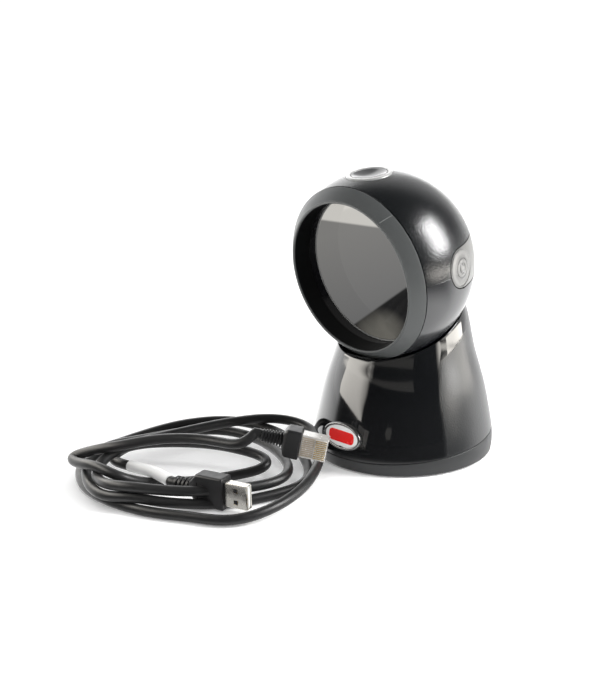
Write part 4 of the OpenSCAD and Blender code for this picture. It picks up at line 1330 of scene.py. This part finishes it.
def shade_floor(material):
    """White floor; in reflections it is painted dark where seen low, and has a painted glow
    towards the left.
    """
    tree = material.node_tree
    shader = tree.nodes["Principled BSDF"]
    set_inputs(tree, shader, {"Emission Color": (1, 1, 1, 1), "Emission Strength": 0.16})
    white = shader.outputs[0]
    incoming = add_node(tree, "ShaderNodeNewGeometry").outputs["Incoming"]
    glossy = add_node(tree, "ShaderNodeLightPath").outputs["Is Glossy Ray"]
    height = add_node(tree, "ShaderNodeSeparateXYZ", {0: incoming}).outputs["Z"]
    # painted shade: in reflections the floor is darkened where it is seen low, less so rearward
    steep = map_range(tree, height, (0.22, 0.62), (0.02, 0.9))
    rearward = map_range(tree, dot(tree, incoming, (0.6, -0.8, 0.0)), (-0.15, 0.5))
    dark = add_node(tree, "ShaderNodeBsdfDiffuse", {"Color": (0.02, 0.02, 0.02, 1)})
    mirrored_floor = mix_shader(tree, do_math(tree, "MAXIMUM", steep, rearward),
                                dark.outputs[0], white)
    surface = mix_shader(tree, glossy, white, mirrored_floor)
    # painted glow: in reflections the floor shines extra towards the left
    leftward = map_range(tree, dot(tree, incoming, (0.966, -0.259, 0.0)), (0.62, 0.74),
                         (0.0, 1.2))
    strength = do_math(tree, "MULTIPLY", leftward, glossy)
    glow = add_node(tree, "ShaderNodeEmission", {"Strength": strength})
    total = add_node(tree, "ShaderNodeAddShader", {0: surface, 1: glow.outputs[0]})
    tree.links.new(total.outputs[0], tree.nodes["Material Output"].inputs["Surface"])


def make_floor():
    half = 9                     # metres
    mesh = bpy.data.meshes.new("floor")
    mesh.from_pydata([(-half, -half, 0), (half, -half, 0), (half, half, 0), (-half, half, 0)],
                     [], [(0, 1, 2, 3)])
    obj = bpy.data.objects.new("floor", mesh)
    scene.collection.objects.link(obj)
    material = finish("floor", colour=(0.93, 0.93, 0.93), rough=0.6, spec=0.25,
                      noise=[(3.0, 0.02, 0.5)], vary_scale=3)
    mesh.materials.append(material)
    shade_floor(material)


# Brightness in reflections: (height from straight down 0 to straight up 1, grey)
SKY_STOPS = [(0.0, 0.55), (0.49, 0.9), (0.52, 1.0), (0.575, 0.62), (0.64, 0.16),
             (0.74, 0.035), (1.0, 0.05)]


def make_world():
    """Plain white, but in reflections bright at the horizon and dark overhead."""
    world = bpy.data.worlds.new("world")
    scene.world = world
    world.use_nodes = True
    tree = world.node_tree
    tree.nodes.clear()
    way = add_node(tree, "ShaderNodeTexCoord").outputs["Generated"]

    def towards(direction, span, to):
        return map_range(tree, dot(tree, way, direction), span, to)

    def add_vectors(first, second):
        return add_node(tree, "ShaderNodeVectorMath", {0: first, 1: second},
                        operation="ADD").outputs[0]

    height = add_node(tree, "ShaderNodeSeparateXYZ", {0: way}).outputs["Z"]
    sky = grey_ramp(tree, map_range(tree, height, (-1, 1), smooth=False), SKY_STOPS)
    rear_left = towards((-0.6, 0.8, 0.0), (-0.15, 0.5), (0.05, 1.0))
    sky = add_node(tree, "ShaderNodeVectorMath", {0: sky, "Scale": rear_left},
                   operation="SCALE").outputs[0]
    sky = add_vectors(sky, towards((-0.60, 0.70, 0.39), (0.62, 0.97), (0.0, 0.9)))
    sky = add_vectors(sky, towards((-0.966, 0.259, 0.0), (0.62, 0.74), (0.0, 1.6)))
    plain = add_node(tree, "ShaderNodeBackground", {"Color": (1, 1, 1, 1), "Strength": 1.06})
    reflected = add_node(tree, "ShaderNodeBackground", {"Color": sky, "Strength": 1.0})
    glossy = add_node(tree, "ShaderNodeLightPath").outputs["Is Glossy Ray"]
    surface = mix_shader(tree, glossy, plain.outputs[0], reflected.outputs[0])
    add_node(tree, "ShaderNodeOutputWorld", {"Surface": surface})


def make_softbox():
    """One box light, in metres, to the right and behind."""
    place, target = Vector((0.66, 0.44, 0.53)), Vector((0, 0, 0.08))
    light = bpy.data.lights.new("softbox_right", "AREA")
    light.energy = 12.0
    light.shape = "RECTANGLE"
    light.size = 0.36
    light.size_y = 0.52
    obj = bpy.data.objects.new("softbox_right", light)
    obj.location = place
    obj.rotation_euler = (target - place).to_track_quat("-Z", "Y").to_euler()
    scene.collection.objects.link(obj)


make_floor()
make_world()
make_softbox()

# ================================================================ reflector cards
# Glowing cards seen only in reflections on the bell. Each is laid out by the patch of bell
# it shows in: matching chains of sight-line slopes down its left and right edges.
CARD_ROWS, CARD_COLUMNS = 14, 10
bell_obj = bpy.data.objects["bell_shell"]
bpy.context.view_layer.update()


def bell_hit(across, up):
    """Where a sight line meets the bell, and its mirrored direction; None if it misses."""
    inverse = bell_obj.matrix_world.inverted()
    direction = sight(across, up)
    origin = inverse @ Vector((CAMERA * MM).tolist())
    local = (inverse.to_3x3() @ Vector(direction.tolist())).normalized()
    hit, place, _, _ = bell_obj.ray_cast(origin, local)
    if not hit:
        return None
    point = np.array(bell_obj.matrix_world @ place) / MM
    x, y, z, _ = np.linalg.inv(bell_grid) @ np.array([*point, 1.0])
    angle = math.atan2(y, x)
    slope = (bell_radius(z + 0.2) - bell_radius(z - 0.2)) / 0.4
    normal = bell_grid[:3, :3] @ np.array([math.cos(angle), math.sin(angle), -slope])
    normal /= np.linalg.norm(normal)
    return point, mirrored(direction, normal)


def along_chain(chain, t):
    x = t * (len(chain) - 1)
    i = min(int(x), len(chain) - 2)
    return np.array(chain[i]) * (1 - (x - i)) + np.array(chain[i + 1]) * (x - i)


def card_material(name, strength):
    material = bpy.data.materials.new(name)
    material.use_nodes = True
    tree = material.node_tree
    tree.nodes.clear()
    fade = add_node(tree, "ShaderNodeAttribute", attribute_name="k").outputs["Fac"]
    glow = add_node(tree, "ShaderNodeEmission", {
        "Color": (1.0, 0.965, 0.9, 1), "Strength": do_math(tree, "MULTIPLY", fade, strength)})
    add_node(tree, "ShaderNodeOutputMaterial", {"Surface": glow.outputs[0]})
    return material


def card(name, left, right, distance, strength, fade):
    """fade(u, v) gives the brightness across and down the card."""
    verts, levels = [], []
    for row in range(CARD_ROWS + 1):
        v = row / CARD_ROWS
        start, end = along_chain(left, v), along_chain(right, v)
        for column in range(CARD_COLUMNS + 1):
            hit = bell_hit(*(start + (end - start) * column / CARD_COLUMNS))
            if hit is None:
                return           # a card that runs off the bell is left out
            verts.append(((hit[0] + hit[1] * distance) * MM).tolist())
            levels.append(fade(column / CARD_COLUMNS, v))
    width = CARD_COLUMNS + 1
    corners = [r * width + c for r in range(CARD_ROWS) for c in range(CARD_COLUMNS)]
    mesh = bpy.data.meshes.new(name)
    mesh.from_pydata(verts, [], [(i, i + 1, i + width + 1, i + width) for i in corners])
    mesh.attributes.new("k", "FLOAT", "POINT").data.foreach_set("value", levels)
    mesh.materials.append(card_material(name, strength))
    obj = bpy.data.objects.new(name, mesh)
    scene.collection.objects.link(obj)
    for kind in ("camera", "diffuse", "shadow", "transmission", "volume_scatter"):
        setattr(obj, "visible_" + kind, False)


def smoothstep(x):
    x = max(0.0, min(1.0, x))
    return x ** 2 * (3 - 2 * x)


def front_fade(u, v):
    """Dims towards the right and the bottom, with a dark right-hand edge."""
    if u >= 0.995:
        return 0.0
    return (0.35 + 0.65 * (1 - smoothstep((u - 0.62) / 0.38))) * (1.0 - 0.35 * v)


def soft_edges(u, v):
    return smoothstep(min(u, 1 - u) * 3.2) * smoothstep(min(v, 1 - v) * 3.5)


def even(u, v):
    return 1.0


card("card_front",
     left=[(-34.45145, 47.26467), (-38.69424, 35.38486), (-42.93703, 22.65650),
           (-44.20987, 14.17092), (-36.99712, 3.98822), (-27.66299, -9.16443)],
     right=[(-12.38894, 43.87044), (-14.93462, 33.68775), (-18.32885, 22.65650),
            (-20.02597, 12.47380), (-23.42020, 1.44255), (-25.54159, -10.01298)],
     distance=190, strength=7.4, fade=front_fade)
card("card_neck",
     left=[(45.82213, 61.69016), (46.58583, 56.59881), (47.85866, 49.81035)],
     right=[(58.88992, 74.84280), (60.24761, 62.87814), (51.76203, 50.99833)],
     distance=260, strength=12.0, fade=even)
card("card_flank",
     left=[(41.91876, 50.65891), (39.37309, 25.20217), (42.76732, -4.49736)],
     right=[(57.19280, 50.65891), (58.88992, 25.20217), (54.64713, -7.04303)],
     distance=260, strength=7.5, fade=soft_edges)
card("card_slot",
     left=[(-16.63173, 41.32477), (-15.78318, 37.93054)],
     right=[(19.00770, 43.87044), (18.15914, 34.53631)],
     distance=190, strength=0.35, fade=even)
card("card_spot",
     left=[(-3.90337, -15.52861), (-5.60048, -19.77140), (-4.75192, -25.71130)],
     right=[(-0.084856, -15.52861), (-0.084856, -19.77140), (-1.35769, -25.71130)],
     distance=150, strength=0.45, fade=even)


# ================================================================ camera
def make_camera():
    data = bpy.data.cameras.new("camera")
    obj = bpy.data.objects.new("camera", data)
    scene.collection.objects.link(obj)
    scene.camera = obj
    columns = (VIEW_RIGHT, VIEW_UP, -VIEW_FORWARD, CAMERA * MM)
    obj.matrix_world = Matrix([[column[i] for column in columns] for i in range(3)]
                              + [[0, 0, 0, 1]])
    data.sensor_width = 36
    data.sensor_fit = "AUTO"
    data.lens = 61.396411
    data.shift_x = -0.132561505
    data.shift_y = 0.0929088278
    data.clip_start = 0.01
    data.clip_end = 50
    scene.view_settings.view_transform = "Standard"
    scene.view_settings.look = "None"
    scene.view_settings.exposure = 0.0


make_camera()
